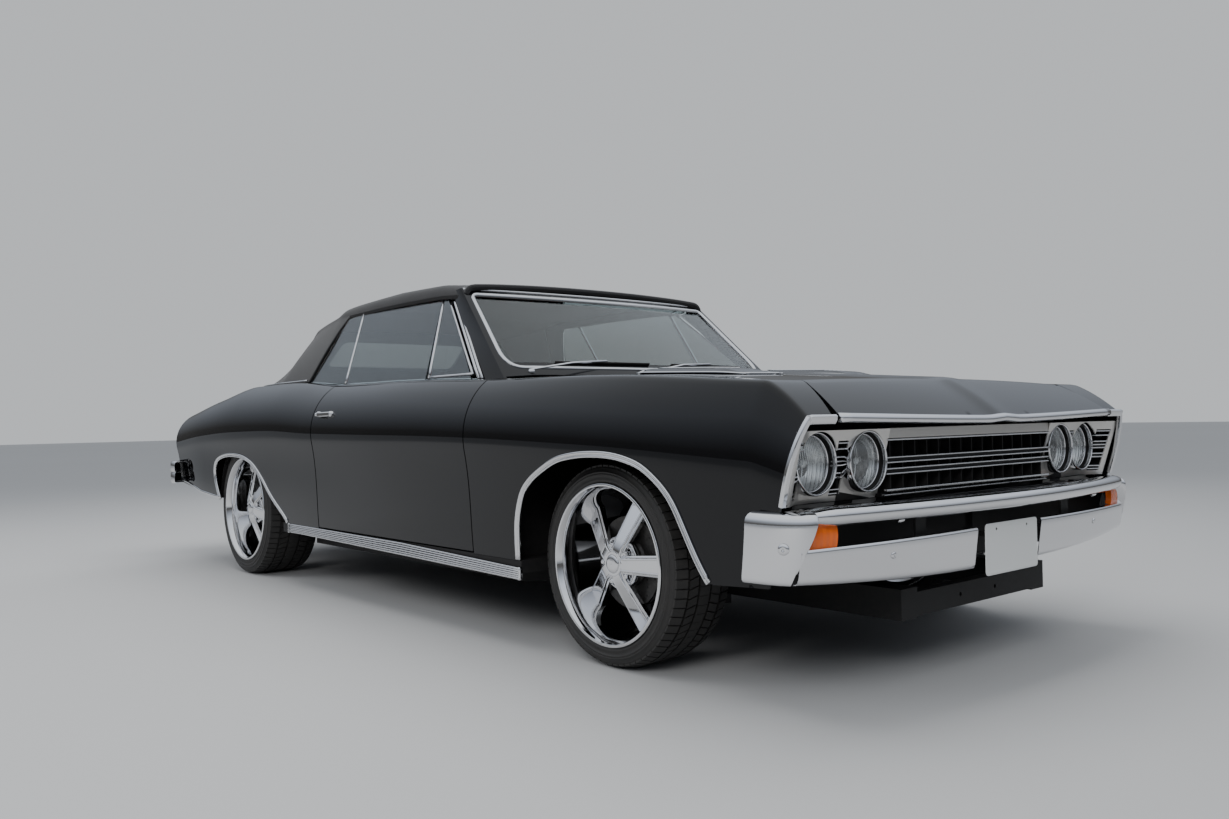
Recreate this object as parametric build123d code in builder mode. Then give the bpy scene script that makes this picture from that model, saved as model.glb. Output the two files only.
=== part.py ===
from build123d import *
from math import asin, cos, hypot, sin
import os

os.makedirs("parts", exist_ok=True)

# A two-door convertible muscle car on a separate perimeter frame, with its soft top up.
# Millimetres. X forward, Y to the car's left, Z up, origin on the ground under the middle of the car.

# Overall size
LENGTH = 5004.0
WHEELBASE = 2921.0
FRONT_AXLE_X = 1570.0
REAR_AXLE_X = FRONT_AXLE_X - WHEELBASE

# Clearances
PANEL_GAP = 6.0
SEAT = 0.3

# Body skin
SKIN_T = 10.0
DOOR_FRONT_X = 905.0
DOOR_REAR_X = -385.0
DOOR_MIDDLE_X = (DOOR_FRONT_X + DOOR_REAR_X) / 2
COWL_FRONT_X = 1004.0
NOSE_X = LENGTH / 2 - 262
LIP_X = LENGTH / 2 - 113
LIP_CENTRE_X = LENGTH / 2 - 78
TAIL_X = 77 - LENGTH / 2
DECK_FRONT_X = REAR_AXLE_X - 169
LID_FRONT_X = REAR_AXLE_X - 289
SILL_TOP_Z = 306.0
SILL_X0 = -801.0
SILL_X1 = 1189.0
FENDER_FLANGE_Z = 800.0
QUARTER_FLANGE_Z = 850.0
FLANGE_W = 25.0
CABIN_HALF_W = 775.0

# Body side at each station. Columns: x, sill y, sill z, widest y, widest z,
# shoulder y, shoulder z, top y, top z, y of the inner edge of the top strip
LIP = (LIP_X, 905, 330, 925, 600, 915, 690, 885, 768, 778)
NOSE = (NOSE_X, 905, 325, 930, 600, 921, 750, 870, 872, 715)
FRONT_AXLE = (FRONT_AXLE_X, 925, SILL_TOP_Z, 955, 640, 943, 795, 865, 915, 725)
DOOR_FRONT = (DOOR_FRONT_X, 925, SILL_TOP_Z, 957, 670, 944, 812, 849, 930, 735)
DOOR_MIDDLE = (DOOR_MIDDLE_X, 928, SILL_TOP_Z, 960, 690, 943, 828, 835, 950, CABIN_HALF_W)
DOOR_REAR = (DOOR_REAR_X, 928, SILL_TOP_Z, 957, 690, 941, 835, 824, 958, CABIN_HALF_W)
QUARTER = (REAR_AXLE_X + 451, 925, SILL_TOP_Z, 958, 700, 941, 858, 820, 985, CABIN_HALF_W)
REAR_AXLE = (REAR_AXLE_X, 925, 330, 955, 690, 938, 856, 810, 985, 715)
REAR_DECK = (TAIL_X + 525, 915, 390, 940, 680, 920, 825, 790, 930, 695)
TAIL = (TAIL_X, 880, 445, 905, 640, 893, 762, 800, 850, 690)

# Wheels
WHEELS = {
    # name: axle x, tyre radius, rim radius, tyre width, y of the outer lip
    "front": (FRONT_AXLE_X, 322.0, 253.5, 245.0, 873.0),
    "rear": (REAR_AXLE_X, 342.0, 266.7, 275.0, 905.0),
}
BARREL_T = 12.0
SPOKE_COUNT = 5
SPOKE_ROOT_W = 56.0
SPOKE_TIP_W = 76.0
HUB_FACE = 34.0
SPOKE_DISH = 110.0
NUT_CIRCLE_R = 60.3
HUB_R = 78.0
DISC_R = 145.0
DISC_T = 26.0
DISC_Y = 745.0

# Front suspension and steering
KINGPIN_Y = 680.0
BALL_JOINT_DROP = 135.0
KINGPIN_R = 27.0
KNUCKLE_W = 50.0
ARM_T = 30.0
FRONT_RAIL_Y = 370.0
RAIL_W = 80.0

# Frame
RAIL_Z0 = 185.0
RAIL_Z1 = 275.0
SIDE_RAIL_Y = 685.0
REAR_RAIL_Y = 470.0
MOUNT_HOLE_R = 6.5
FRAME_FRONT_X = LENGTH / 2 - 172
FRAME_REAR_X = 152 - LENGTH / 2
HITCH_X = 372 - LENGTH / 2
HITCH_SPACING = 200.0
TOW_HOLE_SPACING = 200.0

# Door hinges: the pin stands ahead of the shut line, inside the fender
HINGE_R = 7.0
DOOR_HINGE_X = DOOR_FRONT_X + 54.0
DOOR_HINGE_Y = 924.0
DOOR_HINGE_Z = (520.0, 700.0)
HINGE_ARM_T = 8.0
HINGE_H = 30.0
HINGE_NECK = 56.0

# Glass
GLASS_T = 6.0
BELT_Z = 955.0
BELT_Y = 800.0
GLASS_LEAN = 0.43

# Soft top. Columns: x, side y, side z, roof edge y, roof edge z, crown z
TOP_T = 14.0
TOP_BASE_Y = 800.0
TOP_BASE_Z = 985.0
TOP_ROWS = [
    (475.0, 668, 1292, 628, 1328, 1346),
    (100.0, 662, 1312, 620, 1366, 1398),
    (-600.0, 655, 1302, 600, 1350, 1386),
    (-1110.0, 590, 1262, 545, 1290, 1312),
    (-1505.0, 640, 1004, 560, 1012, 1018),
]
TOP_BASE_ROWS = {475.0: 800, 100.0: 800, -600.0: 798, -1110.0: 784, -1505.0: 712}


def slab(x0, x1, y0, y1, z0, z1, mode=Mode.ADD):
    with Locations(((x0 + x1) / 2, (y0 + y1) / 2, (z0 + z1) / 2)):
        Box(abs(x1 - x0), abs(y1 - y0), abs(z1 - z0), mode=mode)


def rod(start, end, radius, mode=Mode.ADD):
    axis = Vector(*end) - Vector(*start)
    with BuildSketch(Plane(origin=start, z_dir=axis)) as disc:
        Circle(radius)
    extrude(disc.sketch, amount=axis.length, mode=mode)


def prism_y(points, y0, y1, mode=Mode.ADD):
    # a closed outline in x and z, from y0 to y1
    with BuildSketch(Plane.XZ.offset(-y0)) as outline:
        Polygon(*points, align=None)
    extrude(outline.sketch, amount=y0 - y1, mode=mode)


def prism_x(points, x0, x1, mode=Mode.ADD):
    # a closed outline in y and z, from x0 to x1
    with BuildSketch(Plane.YZ.offset(x0)) as outline:
        Polygon(*points, align=None)
    extrude(outline.sketch, amount=x1 - x0, mode=mode)


def prism_z(points, z0, z1, mode=Mode.ADD):
    # a closed outline in x and y, from z0 to z1
    with BuildSketch(Plane.XY.offset(z0)) as outline:
        Polygon(*points, align=None)
    extrude(outline.sketch, amount=z1 - z0, mode=mode)


def skin_section(row, flange_z):
    x, sill_y, sill_z, wide_y, wide_z, shoulder_y, shoulder_z, top_y, top_z, rail_y = row
    with BuildSketch(Plane.YZ.offset(x)) as section:
        with BuildLine():
            Line((sill_y, sill_z), (wide_y, wide_z))
            ThreePointArc((wide_y, wide_z), (shoulder_y, shoulder_z), (top_y, top_z))
            Line((top_y, top_z), (rail_y, top_z))
            Line((rail_y, top_z), (rail_y, flange_z))
            Line((rail_y, flange_z), (rail_y + FLANGE_W, flange_z))
            Line((rail_y + FLANGE_W, flange_z), (rail_y + FLANGE_W, top_z - SKIN_T))
            Line((rail_y + FLANGE_W, top_z - SKIN_T), (top_y - SKIN_T / 2, top_z - SKIN_T))
            ThreePointArc((top_y - SKIN_T / 2, top_z - SKIN_T),
                          (shoulder_y - SKIN_T, shoulder_z - SKIN_T / 2), (wide_y - SKIN_T, wide_z))
            Line((wide_y - SKIN_T, wide_z), (sill_y - SKIN_T, sill_z))
            Line((sill_y - SKIN_T, sill_z), (sill_y, sill_z))
        make_face()
    return section.sketch


def block_section(row, inner_y, x):
    sill_y, sill_z, wide_y, wide_z, shoulder_y, shoulder_z, top_y, top_z = row[1:9]
    with BuildSketch(Plane.YZ.offset(x)) as section:
        with BuildLine():
            Line((sill_y, sill_z), (wide_y, wide_z))
            ThreePointArc((wide_y, wide_z), (shoulder_y, shoulder_z), (top_y, top_z))
            Line((top_y, top_z), (inner_y, top_z))
            Line((inner_y, top_z), (inner_y, sill_z))
            Line((inner_y, sill_z), (sill_y, sill_z))
        make_face()
    return section.sketch


def arch_cut(axle_x, points):
    # points: dx and z of the opening's outline, or an arc through one point to the next
    with BuildSketch(Plane.XZ.offset(-800)) as opening:
        with BuildLine():
            here = points[0]
            for step in points[1:]:
                if len(step) == 4:
                    ThreePointArc((axle_x + here[0], here[1]), (axle_x + step[0], step[1]),
                                  (axle_x + step[2], step[3]))
                else:
                    Line((axle_x + here[0], here[1]), (axle_x + step[0], step[1]))
                here = step[-2:]
            Line((axle_x + here[0], here[1]), (axle_x + points[0][0], points[0][1]))
        make_face()
    extrude(opening.sketch, amount=-200, mode=Mode.SUBTRACT)


# Wheel openings, measured from the axle
FRONT_ARCH = [(-380, 200), (-373, 434), (-280, 577, -134, 643), (32, 663, 190, 652),
              (310, 600, 370, 530), (483, 319), (520, 200)]
REAR_ARCH = [(-290, 200), (-294, 391), (-354, 483), (-352, 549), (-310, 585, -240, 600),
             (-54, 617, 129, 601), (180, 589, 223, 573), (425, 420), (587, 328), (640, 200)]

# Side glass outlines in x and z, and the vent window's post
VENT_BAR = [(403, 940), (288, 1292), (276, 1292), (391, 940)]
VENT_GLASS = [(740, 925), (404, 925), (289, 1290), (335, 1290)]
DOOR_GLASS = [(388, 900), (275, 1290), (274, 1298), (-448, 1302), (-350, 925), (-330, 900)]
QUARTER_GLASS = [(-362, 925), (-459, 1298), (-600, 1284), (-644, 1216), (-752, 990), (-740, 975), (-720, 925)]


def pane(points, thickness, mode=Mode.ADD, inset=0.0, flip=False):
    # the side glass lies in one plane that leans in from the belt
    side = -1 if flip else 1
    plane = Plane(origin=(0, side * BELT_Y, BELT_Z), x_dir=(1, 0, 0), z_dir=(0, side, GLASS_LEAN))
    scale_up = hypot(1, GLASS_LEAN)
    flat = [(x, -side * (z - BELT_Z) * scale_up) for x, z in points]
    with BuildSketch(plane) as outline:
        Polygon(*flat, align=None)
        if inset:
            offset(amount=inset, kind=Kind.INTERSECTION)
    extrude(outline.sketch, amount=thickness / 2, both=True, mode=mode)


pieces = {}


def keep(name, shape):
    shape.label = name
    pieces[name] = shape


# Front fenders
with BuildPart() as fenders:
    loft([skin_section(row, FENDER_FLANGE_Z) for row in (DOOR_FRONT, FRONT_AXLE, NOSE)])
    loft([skin_section(NOSE, FENDER_FLANGE_Z), skin_section(LIP, LIP[8] - 40)], ruled=True)
    arch_cut(FRONT_AXLE_X, FRONT_ARCH)
    slab(DOOR_FRONT_X - 1, FRONT_AXLE_X, 800, 1000, 200, SILL_TOP_Z, mode=Mode.SUBTRACT)
    prism_y([(LIP_X, 770), (LIP_X + 60, 770), (LIP_X + 60, 200), (NOSE_X - 7, 200)], 600, 1000,
            mode=Mode.SUBTRACT)
    mirror(about=Plane.XZ)
keep("fenders", fenders.part)

# Rear quarter panels, with the side wall of the cabin ahead of the wheel
with BuildPart() as quarter_panels:
    loft([skin_section(row, QUARTER_FLANGE_Z) for row in (DOOR_REAR, QUARTER, REAR_AXLE)])
    loft([skin_section(row, QUARTER_FLANGE_Z) for row in (REAR_AXLE, REAR_DECK)])
    loft([skin_section(REAR_DECK, QUARTER_FLANGE_Z), skin_section(TAIL, TAIL[8] - 40)], ruled=True)
    arch_cut(REAR_AXLE_X, REAR_ARCH)
    slab(SILL_X0, DOOR_REAR_X + 1, 800, 1000, 200, SILL_TOP_Z, mode=Mode.SUBTRACT)
    pane(QUARTER_GLASS, GLASS_T + 2 * SEAT, mode=Mode.SUBTRACT, inset=SEAT)
    mirror(about=Plane.XZ)
keep("quarter_panels", quarter_panels.part)

# Hood: a crowned panel whose nose turns down to a lip that is swept back at its ends
HOOD_T = 22.0
HOOD_PEAK = 4.0
HOOD_REAR_X = COWL_FRONT_X + PANEL_GAP
INTAKE_X0 = 1190.0
INTAKE_X1 = 1760.0
INTAKE_Z = 955.0
HOOD_HINGE_X = COWL_FRONT_X - 50.0
HOOD_HINGE_Z = 912.0
HOOD_HINGE_Y = 600.0


def hood_section(x, half_w, edge_z, crown, thick, peak=0.0):
    # the peak is a low crease along the centre line
    with BuildSketch(Plane.YZ.offset(x)) as section:
        with BuildLine():
            if peak:
                ThreePointArc((-half_w, edge_z), (-half_w / 2, edge_z + 0.75 * crown), (0, edge_z + crown + peak))
                ThreePointArc((0, edge_z + crown + peak), (half_w / 2, edge_z + 0.75 * crown), (half_w, edge_z))
            else:
                ThreePointArc((-half_w, edge_z), (0, edge_z + crown), (half_w, edge_z))
            Line((half_w, edge_z), (half_w, edge_z - thick))
            ThreePointArc((half_w, edge_z - thick), (0, edge_z + crown - thick), (-half_w, edge_z - thick))
            Line((-half_w, edge_z - thick), (-half_w, edge_z))
        make_face()
    return section.sketch


with BuildPart() as hood:
    rear = hood_section(HOOD_REAR_X, DOOR_FRONT[9] - PANEL_GAP, 934, 20, HOOD_T, HOOD_PEAK)
    middle = hood_section(FRONT_AXLE_X, FRONT_AXLE[9] - PANEL_GAP, 915, 14, HOOD_T, HOOD_PEAK)
    nose = hood_section(NOSE_X, NOSE[9] - PANEL_GAP, 870, 12, HOOD_T, HOOD_PEAK)
    lip = hood_section(LIP_CENTRE_X, LIP[9] - PANEL_GAP, 752, 6, HOOD_T, HOOD_PEAK)
    loft([rear, middle, nose])
    loft([nose, lip], ruled=True)
    for side in (1, -1):
        prism_z([(LIP_CENTRE_X, 0), (LIP_X + 6, side * LIP[9]), (LIP_X + 6, side * 900),
                 (LIP_X + 90, side * 900), (LIP_X + 90, 0)], 600, 900, mode=Mode.SUBTRACT)
        prism_y([(INTAKE_X0, 900), (INTAKE_X0, 934), (INTAKE_X0 + 50, INTAKE_Z), (INTAKE_X1 - 150, INTAKE_Z - 4),
                 (INTAKE_X1, 920), (INTAKE_X1, 900)], side * 205, side * 395)
    rod((HOOD_HINGE_X, -900, HOOD_HINGE_Z), (HOOD_HINGE_X, 900, HOOD_HINGE_Z),
        hypot(HOOD_REAR_X - HOOD_HINGE_X, 934 - HOOD_HINGE_Z), mode=Mode.SUBTRACT)
    for side in (1, -1):
        y0 = side * HOOD_HINGE_Y - HINGE_H / 2
        slab(HOOD_HINGE_X - HINGE_ARM_T / 2, HOOD_HINGE_X + HINGE_ARM_T / 2, y0, y0 + HINGE_H,
             HOOD_HINGE_Z - HINGE_NECK, HOOD_HINGE_Z)
        slab(HOOD_HINGE_X - HINGE_ARM_T / 2, HOOD_REAR_X + 60, y0, y0 + HINGE_H,
             HOOD_HINGE_Z - HINGE_NECK, HOOD_HINGE_Z - HINGE_NECK + HINGE_ARM_T)
        slab(HOOD_REAR_X + 40, HOOD_REAR_X + 60, y0, y0 + HINGE_H,
             HOOD_HINGE_Z - HINGE_NECK, 920)
        rod((HOOD_HINGE_X, y0, HOOD_HINGE_Z), (HOOD_HINGE_X, y0 + HINGE_H, HOOD_HINGE_Z), HINGE_R)
keep("hood", hood.part)

# Trunk lid
LID_T = 22.0
LID_HINGE_X = LID_FRONT_X + 50.0
LID_HINGE_Z = 938.0
LID_FRONT_CROWN = 8.0
LID_HINGE_Y = 560.0
with BuildPart() as trunk_lid:
    lid_front_x = LID_FRONT_X - PANEL_GAP
    front = hood_section(lid_front_x, 700 - PANEL_GAP, 955, LID_FRONT_CROWN, LID_T)
    middle = hood_section(REAR_DECK[0], REAR_DECK[9] - PANEL_GAP, 930, 20, LID_T)
    rear = hood_section(TAIL_X + 12, TAIL[9] - PANEL_GAP, 850, 16, LID_T)
    loft([front, middle, rear], ruled=True)
    slab(TAIL_X - 4, TAIL_X + 4, -(TAIL[9] - PANEL_GAP), TAIL[9] - PANEL_GAP, 790, 851)
    slab(TAIL_X - 4, TAIL_X + 18, -(TAIL[9] - PANEL_GAP), TAIL[9] - PANEL_GAP, 832, 851)
    rod((LID_HINGE_X, -900, LID_HINGE_Z), (LID_HINGE_X, 900, LID_HINGE_Z),
        hypot(LID_HINGE_X - lid_front_x, 957 + LID_FRONT_CROWN - LID_HINGE_Z), mode=Mode.SUBTRACT)
    for side in (1, -1):
        y0 = side * LID_HINGE_Y - HINGE_H / 2
        slab(LID_HINGE_X - HINGE_ARM_T / 2, LID_HINGE_X + HINGE_ARM_T / 2, y0, y0 + HINGE_H,
             LID_HINGE_Z - HINGE_NECK, LID_HINGE_Z)
        slab(lid_front_x - 60, LID_HINGE_X + HINGE_ARM_T / 2, y0, y0 + HINGE_H,
             LID_HINGE_Z - HINGE_NECK, LID_HINGE_Z - HINGE_NECK + HINGE_ARM_T)
        slab(lid_front_x - 60, lid_front_x - 40, y0, y0 + HINGE_H,
             LID_HINGE_Z - HINGE_NECK, 945)
        rod((LID_HINGE_X, y0, LID_HINGE_Z), (LID_HINGE_X, y0 + HINGE_H, LID_HINGE_Z), HINGE_R)
keep("trunk_lid", trunk_lid.part)

# Doors: one thick panel each, with the vent window's post, a slot for the glass and two hinge arms
DOOR_BOTTOM_Z = SILL_TOP_Z + PANEL_GAP
PILLAR_FOOT_X = 690.0
PILLAR_FOOT_Y = 803.0


with BuildPart() as left_door:
    front_x = DOOR_FRONT_X - PANEL_GAP
    rear_x = DOOR_REAR_X + PANEL_GAP
    loft([block_section(DOOR_FRONT, CABIN_HALF_W, front_x), block_section(DOOR_MIDDLE, CABIN_HALF_W, DOOR_MIDDLE_X),
          block_section(DOOR_REAR, CABIN_HALF_W, rear_x)])
    slab(rear_x, front_x, 700, 990, 200, DOOR_BOTTOM_Z, mode=Mode.SUBTRACT)
    slab(PILLAR_FOOT_X, front_x + 5, 700, PILLAR_FOOT_Y, 200, 1000, mode=Mode.SUBTRACT)
    prism_z([(rear_x - 5, 930), (rear_x, 930), (rear_x + 35, 760), (rear_x - 5, 760)], 200, 1000,
            mode=Mode.SUBTRACT)
    rod((DOOR_HINGE_X, DOOR_HINGE_Y, 200), (DOOR_HINGE_X, DOOR_HINGE_Y, 1000),
        hypot(DOOR_HINGE_X - front_x, 957 - DOOR_HINGE_Y), mode=Mode.SUBTRACT)
    for z in DOOR_HINGE_Z:
        neck_y = DOOR_HINGE_Y - HINGE_NECK
        slab(DOOR_HINGE_X - HINGE_ARM_T / 2, DOOR_HINGE_X + HINGE_ARM_T / 2, neck_y, DOOR_HINGE_Y,
             z, z + HINGE_H)
        slab(front_x - 20, DOOR_HINGE_X + HINGE_ARM_T / 2, neck_y, neck_y + HINGE_ARM_T, z, z + HINGE_H)
        rod((DOOR_HINGE_X, DOOR_HINGE_Y, z), (DOOR_HINGE_X, DOOR_HINGE_Y, z + HINGE_H), HINGE_R)
    pane(VENT_BAR, 14)
    pane(DOOR_GLASS, GLASS_T + 2 * SEAT, mode=Mode.SUBTRACT, inset=SEAT)
    pane(VENT_GLASS, GLASS_T + 2 * SEAT, mode=Mode.SUBTRACT, inset=SEAT)
keep("left_door", left_door.part)
keep("right_door", mirror(left_door.part, about=Plane.XZ))

with BuildPart() as left_door_glass:
    pane(DOOR_GLASS, GLASS_T)
    pane(VENT_GLASS, GLASS_T)
keep("left_door_glass", left_door_glass.part)
keep("right_door_glass", mirror(left_door_glass.part, about=Plane.XZ))


# Body tub: floor, tunnel, firewall, cowl, sills, posts, bulkhead, wheelhouses and trunk floor
FLOOR_Z = 288.0
SHEET_T = 16.0
FIREWALL_X = 940.0
BULKHEAD_X = -1130.0
TUNNEL_HALF_W = 150.0
TUNNEL_TOP_Z = 480.0
TUNNEL_REAR_Z = 420.0
KICKUP_Z = 500.0
TRUNK_FLOOR_Z = 372.0
WHEELHOUSE_Y = 598.0
WHEELHOUSE_CLEAR = 30.0
SILL_Y = 920.0
WALL_T = 30.0
COWL_Z = 934.0
BULKHEAD_TOP_Z = 860.0
REAR_SEAM_X = -962.0
with BuildPart() as body_tub:
    slab(-900, FIREWALL_X, -SILL_Y + 60, SILL_Y - 60, FLOOR_Z, FLOOR_Z + SHEET_T)
    prism_y([(-890, FLOOR_Z), (-902, FLOOR_Z), (-1002, KICKUP_Z), (BULKHEAD_X, KICKUP_Z),
             (BULKHEAD_X, KICKUP_Z + SHEET_T), (-992, KICKUP_Z + SHEET_T), (-890, FLOOR_Z + SHEET_T)],
            -WHEELHOUSE_Y + 12, WHEELHOUSE_Y - 12)
    slab(-960, -900, -CABIN_HALF_W, CABIN_HALF_W, FLOOR_Z, FLOOR_Z + SHEET_T)
    slab(-1010, 380, -TUNNEL_HALF_W, TUNNEL_HALF_W, FLOOR_Z, TUNNEL_REAR_Z)
    slab(380, FIREWALL_X, -TUNNEL_HALF_W, TUNNEL_HALF_W, FLOOR_Z, TUNNEL_TOP_Z)
    slab(FIREWALL_X - SHEET_T, FIREWALL_X, -806, 806, FLOOR_Z, FENDER_FLANGE_Z - 5)
    slab(FIREWALL_X - SHEET_T, FIREWALL_X, -730, 730, FLOOR_Z, COWL_Z)
    slab(FIREWALL_X - SHEET_T, COWL_FRONT_X, -(DOOR_FRONT[9] - 2), DOOR_FRONT[9] - 2,
         COWL_Z - 14, COWL_Z)
    slab(BULKHEAD_X, BULKHEAD_X + SHEET_T, -WHEELHOUSE_Y + 12 + SEAT, WHEELHOUSE_Y - 12 - SEAT,
         KICKUP_Z, BULKHEAD_TOP_Z)
    slab(-1700, BULKHEAD_X, -WHEELHOUSE_Y, WHEELHOUSE_Y, KICKUP_Z, KICKUP_Z + SHEET_T)
    prism_y([(-1690, KICKUP_Z + SHEET_T), (-1690, KICKUP_Z), (-1700, KICKUP_Z), (-1890, TRUNK_FLOOR_Z),
             (-1890, TRUNK_FLOOR_Z + SHEET_T), (-1710, KICKUP_Z + SHEET_T)], -WHEELHOUSE_Y, WHEELHOUSE_Y)
    slab(TAIL_X + 30, -1880, -WHEELHOUSE_Y, WHEELHOUSE_Y, TRUNK_FLOOR_Z, TRUNK_FLOOR_Z + SHEET_T)
    for x0, x1, top_z in ((-1015, 380, TUNNEL_REAR_Z), (380 + SHEET_T, FIREWALL_X + 5, TUNNEL_TOP_Z)):
        slab(x0, x1, -TUNNEL_HALF_W + SHEET_T, TUNNEL_HALF_W - SHEET_T, 200, top_z - SHEET_T,
             mode=Mode.SUBTRACT)
    slab(300, 420, -TUNNEL_HALF_W + SHEET_T, TUNNEL_HALF_W - SHEET_T, 200, TUNNEL_REAR_Z - SHEET_T,
         mode=Mode.SUBTRACT)
    for side in (1, -1):
        slab(SILL_X0, SILL_X1, side * (SILL_Y - 150), side * SILL_Y, 262, SILL_TOP_Z - SEAT)
        slab(FIREWALL_X - SHEET_T, COWL_FRONT_X, side * 780, side * 856, FLOOR_Z, 840)
        slab(PILLAR_FOOT_X + PANEL_GAP, DOOR_FRONT_X - 2, side * 700, side * 790, 620, COWL_Z)
        slab(DOOR_FRONT_X - 2, FIREWALL_X, side * 700, side * 730, 620, COWL_Z)
        slab(-960, DOOR_REAR_X, side * CABIN_HALF_W, side * (CABIN_HALF_W + WALL_T),
             FLOOR_Z, QUARTER_FLANGE_Z)
        slab(-1715, -1100, side * (WHEELHOUSE_Y - 12), side * WHEELHOUSE_Y, 430, KICKUP_Z + SHEET_T)
        for z in DOOR_HINGE_Z:
            for end in (-SEAT - 14, HINGE_H + SEAT):
                rod((DOOR_HINGE_X, side * DOOR_HINGE_Y, z + end),
                    (DOOR_HINGE_X, side * DOOR_HINGE_Y, z + end + 14), HINGE_R)
                slab(DOOR_HINGE_X - 5, DOOR_HINGE_X + 5, side * 850, side * DOOR_HINGE_Y,
                     z + end, z + end + 14)
        for end in (-1, 1):
            y0 = side * HOOD_HINGE_Y + end * (HINGE_H / 2 + SEAT)
            rod((HOOD_HINGE_X, y0, HOOD_HINGE_Z), (HOOD_HINGE_X, y0 + end * 12, HOOD_HINGE_Z), HINGE_R)
            slab(HOOD_HINGE_X - 5, HOOD_HINGE_X + 5, y0, y0 + end * 12, HOOD_HINGE_Z, COWL_Z - 5)
    for side in (1, -1):
        with BuildSketch(Plane.XZ.offset(-side * (WHEELHOUSE_Y - 12))) as shell:
            with Locations((REAR_AXLE_X, WHEELS["rear"][1])):
                Circle(WHEELS["rear"][1] + WHEELHOUSE_CLEAR + 12)
                Circle(WHEELS["rear"][1] + WHEELHOUSE_CLEAR, mode=Mode.SUBTRACT)
            with Locations((REAR_AXLE_X, 0)):
                Rectangle(1200, 760, mode=Mode.SUBTRACT)
        extrude(shell.sketch, amount=-side * (895 - WHEELHOUSE_Y + 12))
        with BuildSketch(Plane.XZ.offset(-side * (WHEELHOUSE_Y - 12))) as wall:
            with Locations((REAR_AXLE_X, WHEELS["rear"][1])):
                Circle(WHEELS["rear"][1] + WHEELHOUSE_CLEAR + 12)
            with Locations((REAR_AXLE_X, 0)):
                Rectangle(1200, 860, mode=Mode.SUBTRACT)
        extrude(wall.sketch, amount=-side * 12)
    # the firewall, the bulkhead and the rear floor are welded to the cabin floor along these seams
    slab(FIREWALL_X - SHEET_T - 2, FIREWALL_X - SHEET_T - 2 + SEAT, -SILL_Y, SILL_Y, 200, 600, mode=Mode.SUBTRACT)
    slab(REAR_SEAM_X - SEAT, REAR_SEAM_X, -SILL_Y, SILL_Y, 200, 1000, mode=Mode.SUBTRACT)
    slab(BULKHEAD_X - 1, BULKHEAD_X + SHEET_T + 1, -WHEELHOUSE_Y + 12, WHEELHOUSE_Y - 12,
         KICKUP_Z + SHEET_T, KICKUP_Z + SHEET_T + SEAT, mode=Mode.SUBTRACT)
    # the sloping step and the trunk floor are welded in the same way
    for x in (-1716, -1893):
        slab(x - SEAT, x, -WHEELHOUSE_Y + 12, WHEELHOUSE_Y - 12, 300, KICKUP_Z + SHEET_T + 1,
             mode=Mode.SUBTRACT)
    for side in (1, -1):
        slab(-1893 - SEAT, -1893, side * (WHEELHOUSE_Y - 12), side * (WHEELHOUSE_Y + 1), 300, 480,
             mode=Mode.SUBTRACT)
        slab(-1893, -1716, side * (WHEELHOUSE_Y - 12 - SEAT), side * (WHEELHOUSE_Y - 12), 300,
             KICKUP_Z + SHEET_T + 1, mode=Mode.SUBTRACT)
keep("body_tub", body_tub.part)

# Tail panel and the deck between the top and the trunk lid
with BuildPart() as tail_panel:
    prism_x([(-866, 450), (866, 450), (898, 640), (884, 780), (800, 812), (-800, 812), (-884, 780),
             (-898, 640)], TAIL_X + 10, TAIL_X + 30)
    slab(TAIL_X + 10, TAIL_X + 60, -650, 650, 790, 812)
    add(quarter_panels.part, mode=Mode.SUBTRACT)
    add(trunk_lid.part, mode=Mode.SUBTRACT)
keep("tail_panel", tail_panel.part.solids().sort_by(SortBy.VOLUME)[-1])
with BuildPart() as deck_panel:
    loft([hood_section(DECK_FRONT_X, 718, 970, 14, 12), hood_section(LID_FRONT_X, 712, 957, LID_FRONT_CROWN, 12)],
         ruled=True)
    add(quarter_panels.part, mode=Mode.SUBTRACT)
    for side in (1, -1):
        for end in (1, -1):
            y0 = side * LID_HINGE_Y + end * (HINGE_H / 2 + SEAT)
            rod((LID_HINGE_X, y0, LID_HINGE_Z), (LID_HINGE_X, y0 + end * 12, LID_HINGE_Z), HINGE_R)
            slab(LID_HINGE_X - HINGE_R, LID_HINGE_X + 20, y0, y0 + end * 12, LID_HINGE_Z, 962)
    slab(DECK_FRONT_X - 12, DECK_FRONT_X, -700, 700, 850, 972)
keep("deck_panel", deck_panel.part.solids().sort_by(SortBy.VOLUME)[-1])

# Ribbed sill mouldings
with BuildPart() as rocker_mouldings:
    for side in (1, -1):
        rib_points = [(SILL_Y, 242), (SILL_Y + 14, 242)]
        for rib in range(5):
            z = 246 + rib * 12
            rib_points += [(SILL_Y + 14, z), (SILL_Y + 20, z + 2), (SILL_Y + 20, z + 6), (SILL_Y + 14, z + 8)]
        rib_points += [(SILL_Y + 14, SILL_TOP_Z), (SILL_Y, SILL_TOP_Z)]
        prism_x([(side * y, z) for y, z in rib_points], SILL_X0, SILL_X1)
keep("rocker_mouldings", rocker_mouldings.part)

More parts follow.
